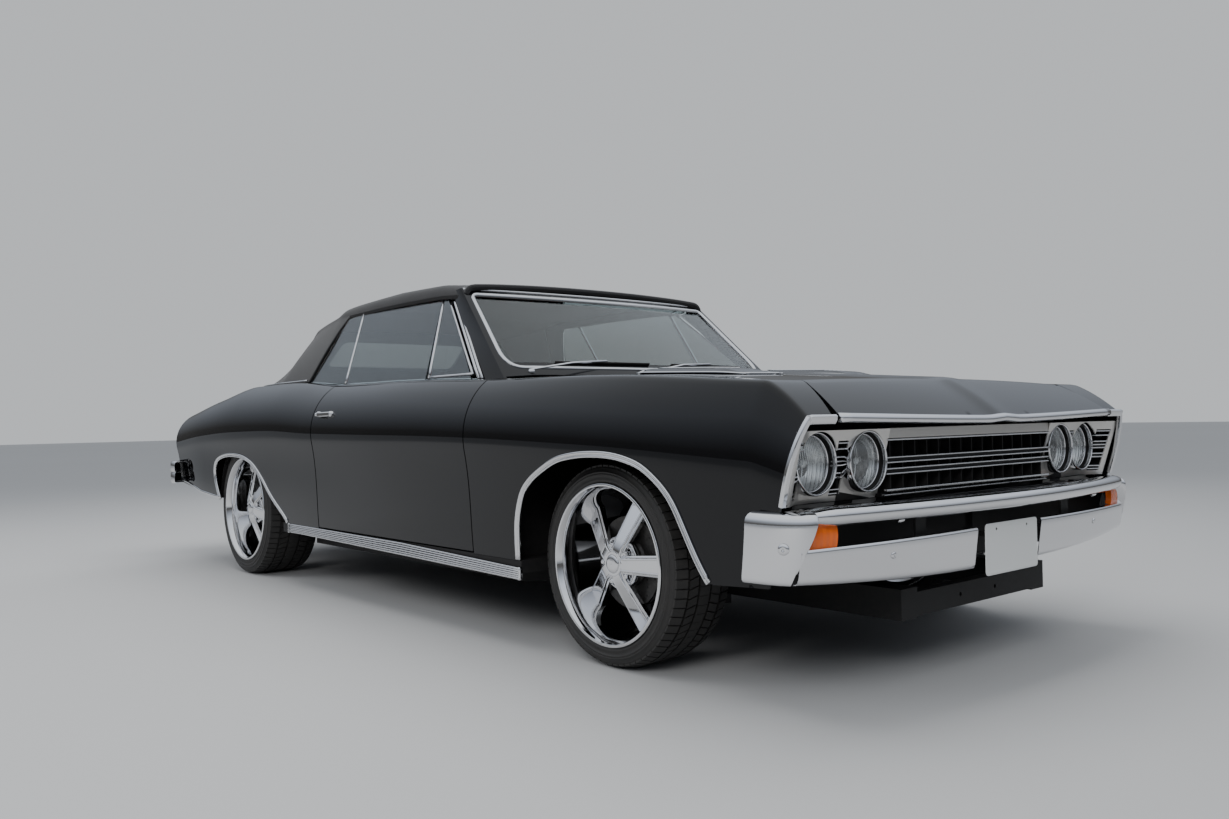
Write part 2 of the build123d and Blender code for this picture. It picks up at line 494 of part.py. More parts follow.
# Inner fenders and radiator support
APRON_Y = 425.0
with BuildPart() as front_inner_panels:
    for side in (1, -1):
        shape = [(APRON_Y, 310), (APRON_Y + 10, 310), (APRON_Y + 10, 745), (745, 745),
                 (745, FENDER_FLANGE_Z), (720, FENDER_FLANGE_Z), (720, 755), (APRON_Y, 755)]
        prism_x([(side * y, z) for y, z in shape], COWL_FRONT_X + 5, 2200)
        slab(1100, 1110, side * APRON_Y, side * 890, SILL_TOP_Z, 750)
        slab(2060, 2070, side * APRON_Y, side * 880, 320, 750)
        slab(FRONT_AXLE_X - 110, FRONT_AXLE_X + 110, side * 415, side * 440, 440, 500, mode=Mode.SUBTRACT)
    slab(2180, 2215, -745, 745, 310, FENDER_FLANGE_Z)
    slab(2170, 2225, -360, 360, 380, 700, mode=Mode.SUBTRACT)
    slab(2180, 2215, -360, 360, 380, 700)
keep("front_inner_panels", front_inner_panels.part)

# Frame
with BuildPart() as frame:
    half = RAIL_W / 2
    for side in (1, -1):
        prism_z([(FRAME_FRONT_X, side * (FRONT_RAIL_Y - half)), (FRAME_FRONT_X, side * (FRONT_RAIL_Y + half)),
                 (1150, side * (FRONT_RAIL_Y + half)), (920, side * (SIDE_RAIL_Y + half)),
                 (REAR_AXLE_X + 491, side * (SIDE_RAIL_Y + half)), (REAR_AXLE_X + 311, side * (REAR_RAIL_Y + half)),
                 (REAR_AXLE_X + 311, side * (REAR_RAIL_Y - half)), (REAR_AXLE_X + 531, side * (SIDE_RAIL_Y - half)),
                 (880, side * (SIDE_RAIL_Y - half)), (1100, side * (FRONT_RAIL_Y - half))],
                RAIL_Z0, RAIL_Z1)
        prism_y([(REAR_AXLE_X + 391, RAIL_Z0), (REAR_AXLE_X + 311, RAIL_Z0), (REAR_AXLE_X + 191, 400),
                 (REAR_AXLE_X - 209, 400), (REAR_AXLE_X - 509, 270), (FRAME_REAR_X, 270), (FRAME_REAR_X, 360),
                 (REAR_AXLE_X - 489, 360), (REAR_AXLE_X - 189, 490), (REAR_AXLE_X + 211, 490),
                 (REAR_AXLE_X + 351, RAIL_Z1), (REAR_AXLE_X + 391, RAIL_Z1)],
                side * (REAR_RAIL_Y - half), side * (REAR_RAIL_Y + half))
    for x0, x1, y, z0, z1 in ((FRONT_AXLE_X - 90, FRONT_AXLE_X + 70, 330, 185, 225), (560, 660, 645, 185, 215),
                              (REAR_AXLE_X - 489, REAR_AXLE_X - 409, 430, 290, 350),
                              (FRAME_REAR_X, FRAME_REAR_X + 50, 430, 280, 350),
                              (FRAME_FRONT_X - 40, FRAME_FRONT_X, 330, 190, 260)):
        slab(x0, x1, -y, y, z0, z1)
    for y in (-TOW_HOLE_SPACING / 2, TOW_HOLE_SPACING / 2):
        rod((FRAME_FRONT_X - 50, y, 225), (FRAME_FRONT_X + 10, y, 225), MOUNT_HOLE_R, mode=Mode.SUBTRACT)
    for x in (HITCH_X - HITCH_SPACING / 2, HITCH_X + HITCH_SPACING / 2):
        for y in (-REAR_RAIL_Y, REAR_RAIL_Y):
            rod((x, y, 260), (x, y, 370), MOUNT_HOLE_R, mode=Mode.SUBTRACT)
keep("frame", frame.part)

# Front suspension arms and the steered knuckles
with BuildPart() as suspension_arms:
    for side in (1, -1):
        for drop in (-BALL_JOINT_DROP, BALL_JOINT_DROP):
            z = WHEELS["front"][1] + drop
            z0 = z - ARM_T if drop < 0 else z
            prism_z([(FRONT_AXLE_X - 100, side * 410), (FRONT_AXLE_X + 100, side * 410),
                     (FRONT_AXLE_X + 28, side * (KINGPIN_Y + 25)),
                     (FRONT_AXLE_X - 28, side * (KINGPIN_Y + 25))], z0, z0 + ARM_T)
        slab(FRONT_AXLE_X - 100, FRONT_AXLE_X + 100, side * 395, side * 424.7, 275, 487)
keep("suspension_arms", suspension_arms.part)

with BuildPart() as left_knuckle:
    z = WHEELS["front"][1]
    rod((FRONT_AXLE_X, KINGPIN_Y, z - BALL_JOINT_DROP + SEAT),
        (FRONT_AXLE_X, KINGPIN_Y, z + BALL_JOINT_DROP - SEAT), KINGPIN_R)
    slab(FRONT_AXLE_X - 45, FRONT_AXLE_X + 45, KINGPIN_Y - 12, KINGPIN_Y + 12, z - 90, z + 90)
    rod((FRONT_AXLE_X, KINGPIN_Y, z), (FRONT_AXLE_X, DISC_Y - SEAT, z), 38)
keep("left_knuckle", left_knuckle.part)
keep("right_knuckle", mirror(left_knuckle.part, about=Plane.XZ))

# Rear axle and propshaft
DIFF_R = 120.0
with BuildPart() as rear_axle:
    z = WHEELS["rear"][1]
    rod((REAR_AXLE_X, -(DISC_Y - SEAT), z), (REAR_AXLE_X, DISC_Y - SEAT, z), 38)
    with Locations((REAR_AXLE_X, 0, z)):
        Sphere(DIFF_R)
    rod((REAR_AXLE_X, 0, z), (REAR_AXLE_X + 210, 0, z), 50)
    for side in (1, -1):
        slab(REAR_AXLE_X - 40, REAR_AXLE_X + 40, side * 440, side * 500, z, 400 - SEAT)
keep("rear_axle", rear_axle.part)
PROP_Z = WHEELS["rear"][1]
GEARBOX_REAR_X = 420.0
with BuildPart() as propshaft:
    rod((REAR_AXLE_X + 210, 0, PROP_Z), (GEARBOX_REAR_X, 0, PROP_Z), 36)
keep("propshaft", propshaft.part)

# Engine and gearbox, as one plain block
with BuildPart() as engine:
    slab(1100, 1820, -270, 270, 330, 840)
    slab(1480, 1640, -300, 300, 225, 330)
    rod((GEARBOX_REAR_X, 0, PROP_Z), (1100, 0, PROP_Z), 100)
keep("engine", engine.part)

# Exhaust pipes with mufflers, and the fuel tank
PIPE_Y = 390.0
PIPE_Z = 245.0
with BuildPart() as exhaust:
    for side in (1, -1):
        rod((1180, side * 297.3, 430), (1000, side * 300, PIPE_Z), 27)
        rod((1000, side * 300, PIPE_Z), (860, side * PIPE_Y, PIPE_Z), 27)
        for x, y in ((1000, 300), (860, PIPE_Y)):
            with Locations((x, side * y, PIPE_Z)):
                Sphere(27)
        rod((860, side * PIPE_Y, PIPE_Z), (TAIL_X - 15, side * PIPE_Y, PIPE_Z), 27)
        slab(-750, -150, side * (PIPE_Y - 90), side * (PIPE_Y + 90), 205, 285)
keep("exhaust", exhaust.part)
with BuildPart() as fuel_tank:
    slab(TAIL_X + 145, TAIL_X + 565, -340, 340, 205, TRUNK_FLOOR_Z)
keep("fuel_tank", fuel_tank.part)

# Windshield: a frame whose posts lean back, round a curved pane
SCREEN_BASE_Z = COWL_Z
SCREEN_TOP_Z = 1322.0


def screen_section(z, corner_x, corner_y, centre_x, rear_x, rear_y, thick, ends=True):
    with BuildSketch(Plane.XY.offset(z)) as section:
        with BuildLine():
            ThreePointArc((corner_x, -corner_y), (centre_x, 0), (corner_x, corner_y))
            Line((corner_x, corner_y), (rear_x, rear_y))
            Line((rear_x, rear_y), (rear_x, rear_y - thick))
            Line((rear_x, rear_y - thick), (corner_x - thick, corner_y - thick))
            ThreePointArc((corner_x - thick, corner_y - thick), (centre_x - thick, 0),
                          (corner_x - thick, -(corner_y - thick)))
            Line((corner_x - thick, -(corner_y - thick)), (rear_x, -(rear_y - thick)))
            Line((rear_x, -(rear_y - thick)), (rear_x, -rear_y))
            Line((rear_x, -rear_y), (corner_x, -corner_y))
        make_face()
    return section.sketch


with BuildPart() as windshield_frame:
    loft([screen_section(SCREEN_BASE_Z, 870, 757, 935, 752, 795, 34),
          screen_section(SCREEN_TOP_Z, 455, 678, 500, 345, 650, 34)], ruled=True)
    prism_x([(-705, 1000), (705, 1000), (642, 1285), (-642, 1285)], 370, 960, mode=Mode.SUBTRACT)
keep("windshield_frame", windshield_frame.part)


# Soft top: a hollow shell, open at the windshield, at the side windows and at the rear window
SIDE_WINDOWS = [(520, 900), (520, 1304), (-470, 1310), (-606, 1290), (-652, 1219), (-768, 985), (-768, 900)]
REAR_SLOPE = Plane(origin=(-1310, 0, 1165), x_dir=(0, 1, 0), z_dir=(-300, 0, 395))


def top_section(row, inset, drop, x):
    side_y, side_z, roof_y, roof_z, crown_z = row[1:]
    base_y = TOP_BASE_ROWS[row[0]]
    with BuildSketch(Plane.YZ.offset(x)) as section:
        with BuildLine():
            Line((base_y - inset, TOP_BASE_Z - drop), (side_y - inset, side_z - inset))
            Line((side_y - inset, side_z - inset), (roof_y - inset, roof_z - inset))
            ThreePointArc((roof_y - inset, roof_z - inset), (0, crown_z - inset),
                          (-roof_y + inset, roof_z - inset))
            Line((-roof_y + inset, roof_z - inset), (-side_y + inset, side_z - inset))
            Line((-side_y + inset, side_z - inset), (-base_y + inset, TOP_BASE_Z - drop))
            Line((-base_y + inset, TOP_BASE_Z - drop), (base_y - inset, TOP_BASE_Z - drop))
        make_face()
    return section.sketch


with BuildPart() as soft_top:
    loft([top_section(row, 0, 25, row[0]) for row in TOP_ROWS], ruled=True)
    inner = [top_section(row, TOP_T, 40, row[0]) for row in TOP_ROWS[:-1]]
    inner[0] = top_section(TOP_ROWS[0], TOP_T, 40, TOP_ROWS[0][0] + 5)
    inner.append(top_section(TOP_ROWS[-1], TOP_T, 40, TOP_ROWS[-1][0] + TOP_T))
    loft(inner, ruled=True, mode=Mode.SUBTRACT)
    prism_y(SIDE_WINDOWS, -900, 900, mode=Mode.SUBTRACT)
    for carrier in (quarter_panels, windshield_frame, deck_panel):
        add(carrier.part, mode=Mode.SUBTRACT)
    with BuildSketch(REAR_SLOPE) as window:
        RectangleRounded(820, 250, 40)
    extrude(window.sketch, amount=80, both=True, mode=Mode.SUBTRACT)
keep("soft_top", soft_top.part.solids().sort_by(SortBy.VOLUME)[-1])

# Fixed glass: windshield, rear window and the two quarter windows
SCREEN_OPENING = [(-705, 1000), (705, 1000), (642, 1285), (-642, 1285)]
GLASS_SET_BACK = 12.0


def screen_strip(z, corner_x, corner_y, centre_x):
    back = GLASS_SET_BACK + GLASS_T
    with BuildSketch(Plane.XY.offset(z)) as section:
        with BuildLine():
            ThreePointArc((corner_x - GLASS_SET_BACK, -corner_y), (centre_x - GLASS_SET_BACK, 0),
                          (corner_x - GLASS_SET_BACK, corner_y))
            Line((corner_x - GLASS_SET_BACK, corner_y), (corner_x - back, corner_y))
            ThreePointArc((corner_x - back, corner_y), (centre_x - back, 0), (corner_x - back, -corner_y))
            Line((corner_x - back, -corner_y), (corner_x - GLASS_SET_BACK, -corner_y))
        make_face()
    return section.sketch


with BuildPart() as fixed_glass:
    loft([screen_strip(SCREEN_BASE_Z, 870, 757, 935), screen_strip(SCREEN_TOP_Z, 455, 678, 500)],
         ruled=True)
    with BuildSketch(Plane.YZ.offset(300)) as opening:
        Polygon(*SCREEN_OPENING, align=None)
        offset(amount=-SEAT, kind=Kind.INTERSECTION)
    extrude(opening.sketch, amount=800, mode=Mode.INTERSECT)
    with BuildSketch(REAR_SLOPE.offset(-7)) as window:
        RectangleRounded(820 - 2 * SEAT, 250 - 2 * SEAT, 40)
    extrude(window.sketch, amount=GLASS_T / 2, both=True)
    pane(QUARTER_GLASS, GLASS_T)
    pane(QUARTER_GLASS, GLASS_T, flip=True)
keep("fixed_glass", fixed_glass.part)

# Grille: an egg-crate centre of upright blades and paired bars under a plain header band, between
# swept lamp panels with slats beside and outboard of the lamps
GRILLE_X = LENGTH / 2 - 172
GRILLE_Z0 = 541.0
GRILLE_Z1 = 735.0
GRILLE_HALF_W = 884.0
GRILLE_SWEEP = 38.0
LAMP_SPOTS = (
    # y, distance behind the grille's face
    (752.0, 30.0),
    (553.0, 12.0),
)
LAMP_Z = 647.0
LAMP_R = 84.0
GRILLE_DEPTH = 40.0
CENTRE_HALF_W = 455.0
HEADER_Z0 = 706.0
BLADE_PITCH = 62.0
BLADE_T = 4.0
GRILLE_BARS = (
    # bottom, top
    (650.0, 656.0),
    (636.0, 642.0),
    (618.0, 624.0),
    (604.0, 610.0),
    (558.0, 564.0),
)
SLAT_POCKETS = (
    # inner y, outer y, depth behind the grille's face
    (630.0, 676.0, 40.0),
    (842.0, 874.0, 55.0),
)
SLAT_Z = (566.0, 589.0, 612.0, 635.0, 658.0, 681.0)
with BuildPart() as grille:
    for side in (1, -1):
        prism_z([(GRILLE_X - GRILLE_DEPTH, side * CENTRE_HALF_W), (GRILLE_X, side * CENTRE_HALF_W),
                 (GRILLE_X - GRILLE_SWEEP, side * GRILLE_HALF_W),
                 (GRILLE_X - GRILLE_SWEEP - GRILLE_DEPTH, side * GRILLE_HALF_W)], GRILLE_Z0, GRILLE_Z1)
        for y0, y1, back in SLAT_POCKETS:
            for z in SLAT_Z:
                slab(GRILLE_X - back, GRILLE_X, side * y0, side * y1, z, z + 15, mode=Mode.SUBTRACT)
        for y, back in LAMP_SPOTS:
            rod((GRILLE_X - 100, side * y, LAMP_Z), (GRILLE_X + 1, side * y, LAMP_Z), LAMP_R + SEAT,
                mode=Mode.SUBTRACT)
        slab(NOSE_X - 25, GRILLE_X - GRILLE_DEPTH, side * 645, side * 660, GRILLE_Z0 + 10, GRILLE_Z1 - 10)
    slab(GRILLE_X - 30, GRILLE_X + 4, -CENTRE_HALF_W - 5, CENTRE_HALF_W + 5, HEADER_Z0, GRILLE_Z1 - 3)
    slab(GRILLE_X - GRILLE_DEPTH, GRILLE_X, -CENTRE_HALF_W - 5, CENTRE_HALF_W + 5, GRILLE_Z0, GRILLE_Z0 + 10)
    for z0, z1 in GRILLE_BARS:
        slab(GRILLE_X - 14, GRILLE_X - 2, -CENTRE_HALF_W - 5, CENTRE_HALF_W + 5, z0, z1)
    for column in range(-7, 8):
        y = column * BLADE_PITCH
        slab(GRILLE_X - 36, GRILLE_X - 8, y - BLADE_T / 2, y + BLADE_T / 2, GRILLE_Z0 + 5, HEADER_Z0 + 5)
keep("grille", grille.part)

# Headlamps: four sealed beams in bright rings
LAMP_DEPTH = 70.0
LENS_BULGE = 16.0
lens_r = ((LAMP_R - 14) ** 2 + LENS_BULGE ** 2) / (2 * LENS_BULGE)
half_angle = asin((LAMP_R - 14) / lens_r) / 2
with BuildPart() as headlamps:
    for side in (1, -1):
        for y, back in LAMP_SPOTS:
            face_x = GRILLE_X - back
            lens_centre_x = face_x - 22 + LENS_BULGE - lens_r
            lamp_plane = Plane(origin=(0, side * y, LAMP_Z), x_dir=(1, 0, 0), z_dir=(0, -1, 0))
            with BuildSketch(lamp_plane) as half_lamp:
                with BuildLine():
                    Line((face_x - LAMP_DEPTH, 0), (face_x - LAMP_DEPTH, 40))
                    Line((face_x - LAMP_DEPTH, 40), (face_x - 34, LAMP_R))
                    Line((face_x - 34, LAMP_R), (face_x + 8, LAMP_R))
                    Line((face_x + 8, LAMP_R), (face_x + 6, LAMP_R - 10))
                    Line((face_x + 6, LAMP_R - 10), (face_x - 22, LAMP_R - 14))
                    ThreePointArc((face_x - 22, LAMP_R - 14),
                                  (lens_centre_x + lens_r * cos(half_angle), lens_r * sin(half_angle)),
                                  (face_x - 22 + LENS_BULGE, 0))
                    Line((face_x - 22 + LENS_BULGE, 0), (face_x - LAMP_DEPTH, 0))
                make_face()
            revolve(half_lamp.sketch, axis=Axis((0, side * y, LAMP_Z), (1, 0, 0)))
keep("headlamps", headlamps.part)

# Bumpers: bowed blades that wrap round the corners, on brackets from the frame
BUMPER_T = 34.0
FRONT_BUMPER_X = LENGTH / 2
BUMPER_SWEEP = 98.0
BUMPER_HALF_W = 948.0
BUMPER_WRAP = 120.0


def bumper_plan(front_x, direction, sweep, half_w, wrap, thick):
    # the blade in plan: a shallow bow with ends that turn back along the body
    def at(back, y):
        return (front_x - direction * back, y)
    with BuildSketch(Plane.XY.offset(0)) as plan:
        with BuildLine():
            ThreePointArc(at(sweep, -half_w + 40), at(0, 0), at(sweep, half_w - 40))
            ThreePointArc(at(sweep, half_w - 40), at(sweep + 30, half_w - 8), at(sweep + 70, half_w))
            Line(at(sweep + 70, half_w), at(sweep + wrap, half_w))
            Line(at(sweep + wrap, half_w), at(sweep + wrap, half_w - 18))
            Line(at(sweep + wrap, half_w - 18), at(sweep + 74, half_w - 18))
            ThreePointArc(at(sweep + 74, half_w - 18), at(sweep + 46, half_w - 34),
                          at(sweep + thick, half_w - 60))
            ThreePointArc(at(sweep + thick, half_w - 60), at(thick, 0), at(sweep + thick, -half_w + 60))
            ThreePointArc(at(sweep + thick, -half_w + 60), at(sweep + 46, -half_w + 34),
                          at(sweep + 74, -half_w + 18))
            Line(at(sweep + 74, -half_w + 18), at(sweep + wrap, -half_w + 18))
            Line(at(sweep + wrap, -half_w + 18), at(sweep + wrap, -half_w))
            Line(at(sweep + wrap, -half_w), at(sweep + 70, -half_w))
            ThreePointArc(at(sweep + 70, -half_w), at(sweep + 30, -half_w + 8), at(sweep, -half_w + 40))
        make_face()
    return plan.sketch


def bow_x(y):
    # how far forward the front bumper's bow stands at y
    chord = BUMPER_HALF_W - 40
    bow_r = (chord ** 2 + BUMPER_SWEEP ** 2) / (2 * BUMPER_SWEEP)
    return FRONT_BUMPER_X - bow_r + (bow_r ** 2 - y ** 2) ** 0.5


SLOT_Z0 = 437.0
SLOT_Z1 = 500.0
SLOT_HALF_W = BUMPER_HALF_W - 63
UPPER_BAR_HALF_W = BUMPER_HALF_W - 158
PLATE_HALF_W = 160.0
FRONT_BUMPER_Z0 = 318.0
BUMPER_END_Z0 = 353.0
POD_Z1 = 512.0
UPPER_BAR_Z1 = 540.0
BUMPER_ROUND = 13.0
BLADE_SET_BACK = 8.0
SIGNAL_Y0 = BUMPER_HALF_W - 166
with BuildPart() as front_bumper:
    plan = bumper_plan(FRONT_BUMPER_X - BLADE_SET_BACK, 1, BUMPER_SWEEP, BUMPER_HALF_W, BUMPER_WRAP, BUMPER_T)
    extrude(plan.moved(Location((0, 0, FRONT_BUMPER_Z0))), amount=POD_Z1 - FRONT_BUMPER_Z0)
    pod_top = front_bumper.edges().filter_by_position(Axis.Z, POD_Z1 - 1, POD_Z1 + 1)
    fillet(pod_top.sort_by(lambda edge: (edge @ 0.5).X)[-1:], BUMPER_ROUND)
    slab(FRONT_BUMPER_X - 300, FRONT_BUMPER_X + 50, -SLOT_HALF_W, SLOT_HALF_W, SLOT_Z0, SLOT_Z1,
         mode=Mode.SUBTRACT)
    with BuildSketch(Plane.YZ.offset(FRONT_BUMPER_X - 300)) as beneath:
        with BuildLine():
            ThreePointArc((-960, BUMPER_END_Z0), (0, FRONT_BUMPER_Z0), (960, BUMPER_END_Z0))
            Polyline((960, BUMPER_END_Z0), (960, 200), (-960, 200), (-960, BUMPER_END_Z0))
        make_face()
    extrude(beneath.sketch, amount=350, mode=Mode.SUBTRACT)
    slab(FRONT_BUMPER_X - 300, FRONT_BUMPER_X + 50, -PLATE_HALF_W, PLATE_HALF_W, 200, SLOT_Z0 + 1,
         mode=Mode.SUBTRACT)
    with BuildPart(mode=Mode.PRIVATE) as upper_bar:
        with BuildSketch(Plane.XY.offset(SLOT_Z1 - 2)) as bar_plan:
            w = UPPER_BAR_HALF_W
            with BuildLine():
                ThreePointArc((bow_x(w), -w), (FRONT_BUMPER_X, 0), (bow_x(w), w))
                Line((bow_x(w), w), (bow_x(w) - BUMPER_T, w))
                ThreePointArc((bow_x(w) - BUMPER_T, w), (FRONT_BUMPER_X - BUMPER_T, 0), (bow_x(w) - BUMPER_T, -w))
                Line((bow_x(w) - BUMPER_T, -w), (bow_x(w), -w))
            make_face()
        extrude(bar_plan.sketch, amount=UPPER_BAR_Z1 - SLOT_Z1 + 2)
        bow_edges = upper_bar.edges().filter_by(GeomType.CIRCLE).sort_by(lambda edge: (edge @ 0.5).X)
        fillet(bow_edges[-2:], BUMPER_ROUND)
    add(upper_bar.part)
    for side in (1, -1):
        y0 = side * (FRONT_RAIL_Y - 25)
        y1 = side * (FRONT_RAIL_Y + 25)
        slab(FRAME_FRONT_X, FRONT_BUMPER_X - 40, y0, y1, 250, SLOT_Z0 - 70)
        slab(FRONT_BUMPER_X - 72, FRONT_BUMPER_X - 40, y0, y1, 250, POD_Z1)
keep("front_bumper", front_bumper.part)

REAR_BUMPER_Z0 = 440.0
REAR_BUMPER_Z1 = 575.0
REAR_BUMPER_SWEEP = 40.0
with BuildPart() as rear_bumper:
    plan = bumper_plan(-LENGTH / 2, -1, REAR_BUMPER_SWEEP, BUMPER_HALF_W + 4, BUMPER_WRAP, BUMPER_T)
    extrude(plan.moved(Location((0, 0, REAR_BUMPER_Z0))), amount=REAR_BUMPER_Z1 - REAR_BUMPER_Z0)
    bow_edges = rear_bumper.edges().filter_by(GeomType.CIRCLE).sort_by(lambda edge: (edge @ 0.5).X)
    fillet(bow_edges[:2], BUMPER_ROUND)
    for side in (1, -1):
        y0 = side * (REAR_RAIL_Y - 25)
        y1 = side * (REAR_RAIL_Y + 25)
        slab(FRAME_REAR_X, 32 - LENGTH / 2, y0, y1, 290, 350)
        slab(57 - LENGTH / 2, 32 - LENGTH / 2, y0, y1, 290, 500)
keep("rear_bumper", rear_bumper.part)

# Amber lamps in the front bumper's slot, and the tail lamps
with BuildPart() as signal_lamps:
    for side in (1, -1):
        slab(FRONT_BUMPER_X - 170, FRONT_BUMPER_X - 114, side * SIGNAL_Y0, side * (SLOT_HALF_W - SEAT),
             SLOT_Z0 + SEAT, SLOT_Z1 - SEAT)
        slab(TAIL_X + 10, TAIL_X - 14, side * 560, side * 840, 610, 730)
keep("signal_lamps", signal_lamps.part)

# Seats
with BuildPart() as seats:
    for side in (1, -1):
        prism_y([(330, 330), (350, 470), (-130, 430), (-300, 880), (-420, 860), (-330, 400), (-250, 304),
                 (280, 304)], side * 160, side * 650)
    prism_y([(-560, 304), (-540, 490), (-930, 460), (-1040, 850), (-1110, 850), (-1110, 518), (-984, 518),
             (-880, 305)], -575, 575)
    slab(-1200, -400, -TUNNEL_HALF_W - 3, TUNNEL_HALF_W + 3, 200, TUNNEL_REAR_Z + 3, mode=Mode.SUBTRACT)
keep("seats", seats.part)

# Dashboard and steering wheel
WHEEL_HUB = (500.0, 370.0, 820.0)
WHEEL_R = 190.0
COLUMN_R = 22.0
COLUMN_L = 167.0
COLUMN_CLEAR = 3.0
COLUMN_DIR = (0.898343, 0.0, -0.439190)
COLUMN_END = tuple(h + d * COLUMN_L for h, d in zip(WHEEL_HUB, COLUMN_DIR))
COLUMN_SEAT = tuple(h + d * (COLUMN_L + SEAT) for h, d in zip(WHEEL_HUB, COLUMN_DIR))
with BuildPart() as dashboard:
    prism_y([(FIREWALL_X - SHEET_T, 920), (660, 900), (620, 860), (620, 700), (680, 640),
             (FIREWALL_X - SHEET_T, 640)], -697, 697)
    rod(WHEEL_HUB, COLUMN_SEAT, COLUMN_R + COLUMN_CLEAR, mode=Mode.SUBTRACT)
keep("dashboard", dashboard.part)

with BuildPart() as steering_wheel:
    rim_plane = Plane(origin=WHEEL_HUB, x_dir=(0, 1, 0), z_dir=(-COLUMN_DIR[0], 0, -COLUMN_DIR[2]))
    with BuildSketch(Plane(origin=rim_plane.origin, x_dir=rim_plane.x_dir, z_dir=rim_plane.y_dir)) as grip:
        with Locations((WHEEL_R, 0)):
            Circle(13)
    revolve(grip.sketch, axis=Axis(WHEEL_HUB, rim_plane.z_dir))
    with BuildSketch(rim_plane) as spokes:
        Circle(45)
        Rectangle(2 * WHEEL_R, 36)
    extrude(spokes.sketch, amount=8, both=True)
    rod(WHEEL_HUB, COLUMN_END, COLUMN_R)
keep("steering_wheel", steering_wheel.part)


def dished_spokes(seat_r, lip_y):
    # the spokes fall back from the hub's face to the middle of the barrel, round five nut pockets
    tip_r = seat_r - 6
    with BuildPart(mode=Mode.PRIVATE) as spokes:
        with BuildSketch(Plane.XZ) as dish:
            with BuildLine():
                Polyline((0, lip_y - 75), (0, lip_y - HUB_FACE + 6), (24, lip_y - HUB_FACE + 4), (30, lip_y - HUB_FACE),
                         (52, lip_y - HUB_FACE), (tip_r, lip_y - SPOKE_DISH), (tip_r, lip_y - SPOKE_DISH - 34),
                         (150, lip_y - 99), (HUB_R, lip_y - 75), close=True)
            make_face()
        revolve(dish.sketch, axis=Axis.Z)
        with BuildSketch(Plane.XY.offset(lip_y - SPOKE_DISH - 40)) as star:
            Circle(HUB_R - 4)
            with PolarLocations(0, SPOKE_COUNT, start_angle=90):
                Polygon((0, -SPOKE_ROOT_W / 2), (0, SPOKE_ROOT_W / 2), (tip_r + 4, SPOKE_TIP_W / 2),
                        (tip_r + 4, -SPOKE_TIP_W / 2), align=None)
        extrude(star.sketch, amount=SPOKE_DISH + 40, mode=Mode.INTERSECT)
        with BuildSketch(Plane.XY.offset(lip_y - 62)) as pockets:
            with PolarLocations(NUT_CIRCLE_R, SPOKE_COUNT, start_angle=90 + 180 / SPOKE_COUNT):
                Circle(17)
        extrude(pockets.sketch, amount=62, mode=Mode.SUBTRACT)
    return spokes.part


def wheel_solids(axle):
    axle_x, tyre_r, rim_r, width, lip_y = WHEELS[axle]
    seat_r = rim_r - 14
    back_y = lip_y - width + 14
    hub_y = lip_y - 75
    with BuildPart() as tyre:
        with BuildSketch(Plane.XZ) as profile:
            with BuildLine():
                Polyline((seat_r, lip_y - 12), (rim_r + 6, lip_y - 4), (tyre_r - 28, lip_y),
                         (tyre_r - 4, lip_y - 18), (tyre_r, lip_y - 60), (tyre_r, lip_y - width + 60),
                         (tyre_r - 4, lip_y - width + 18), (tyre_r - 28, lip_y - width),
                         (rim_r + 6, lip_y - width + 4), (seat_r, lip_y - width + 12), close=True)
            make_face()
        revolve(profile.sketch, axis=Axis.Z)
    with BuildPart() as rim:
        with BuildSketch(Plane.XZ) as profile:
            with BuildLine():
                Polyline((rim_r, lip_y + 2), (rim_r, lip_y - 4), (seat_r, lip_y - 12),
                         (seat_r, lip_y - width + 12), (rim_r, lip_y - width + 4), (rim_r, lip_y - width),
                         (rim_r - 6, lip_y - width), (seat_r - BARREL_T, lip_y - width + 16),
                         (seat_r - BARREL_T, lip_y - 22), (rim_r - 6, lip_y + 2), close=True)
            make_face()
        revolve(profile.sketch, axis=Axis.Z)
        add(dished_spokes(seat_r, lip_y))
    with BuildPart() as disc:
        with BuildSketch(Plane.XY.offset(DISC_Y)) as plate:
            Circle(DISC_R)
        extrude(plate.sketch, amount=DISC_T)
        with BuildSketch(Plane.XY.offset(DISC_Y)) as hat:
            Circle(HUB_R - 6)
        extrude(hat.sketch, amount=hub_y - DISC_Y)
    seat = Plane(origin=(axle_x, 0, tyre_r), x_dir=(1, 0, 0), z_dir=(0, 1, 0)).location
    return {"tyre": seat * tyre.part, "rim": seat * rim.part, "brake_disc": seat * disc.part}


for axle in WHEELS:
    for part_name, solid in wheel_solids(axle).items():
        keep(part_name + "_" + axle + "_left", solid)
        keep(part_name + "_" + axle + "_right", mirror(solid, about=Plane.XZ))

for name, part in pieces.items():
    export_step(part, "parts/" + name + ".step")
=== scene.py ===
import math

import bmesh
import bpy
import numpy as np
from mathutils import Matrix, Vector
from mathutils.geometry import delaunay_2d_cdt


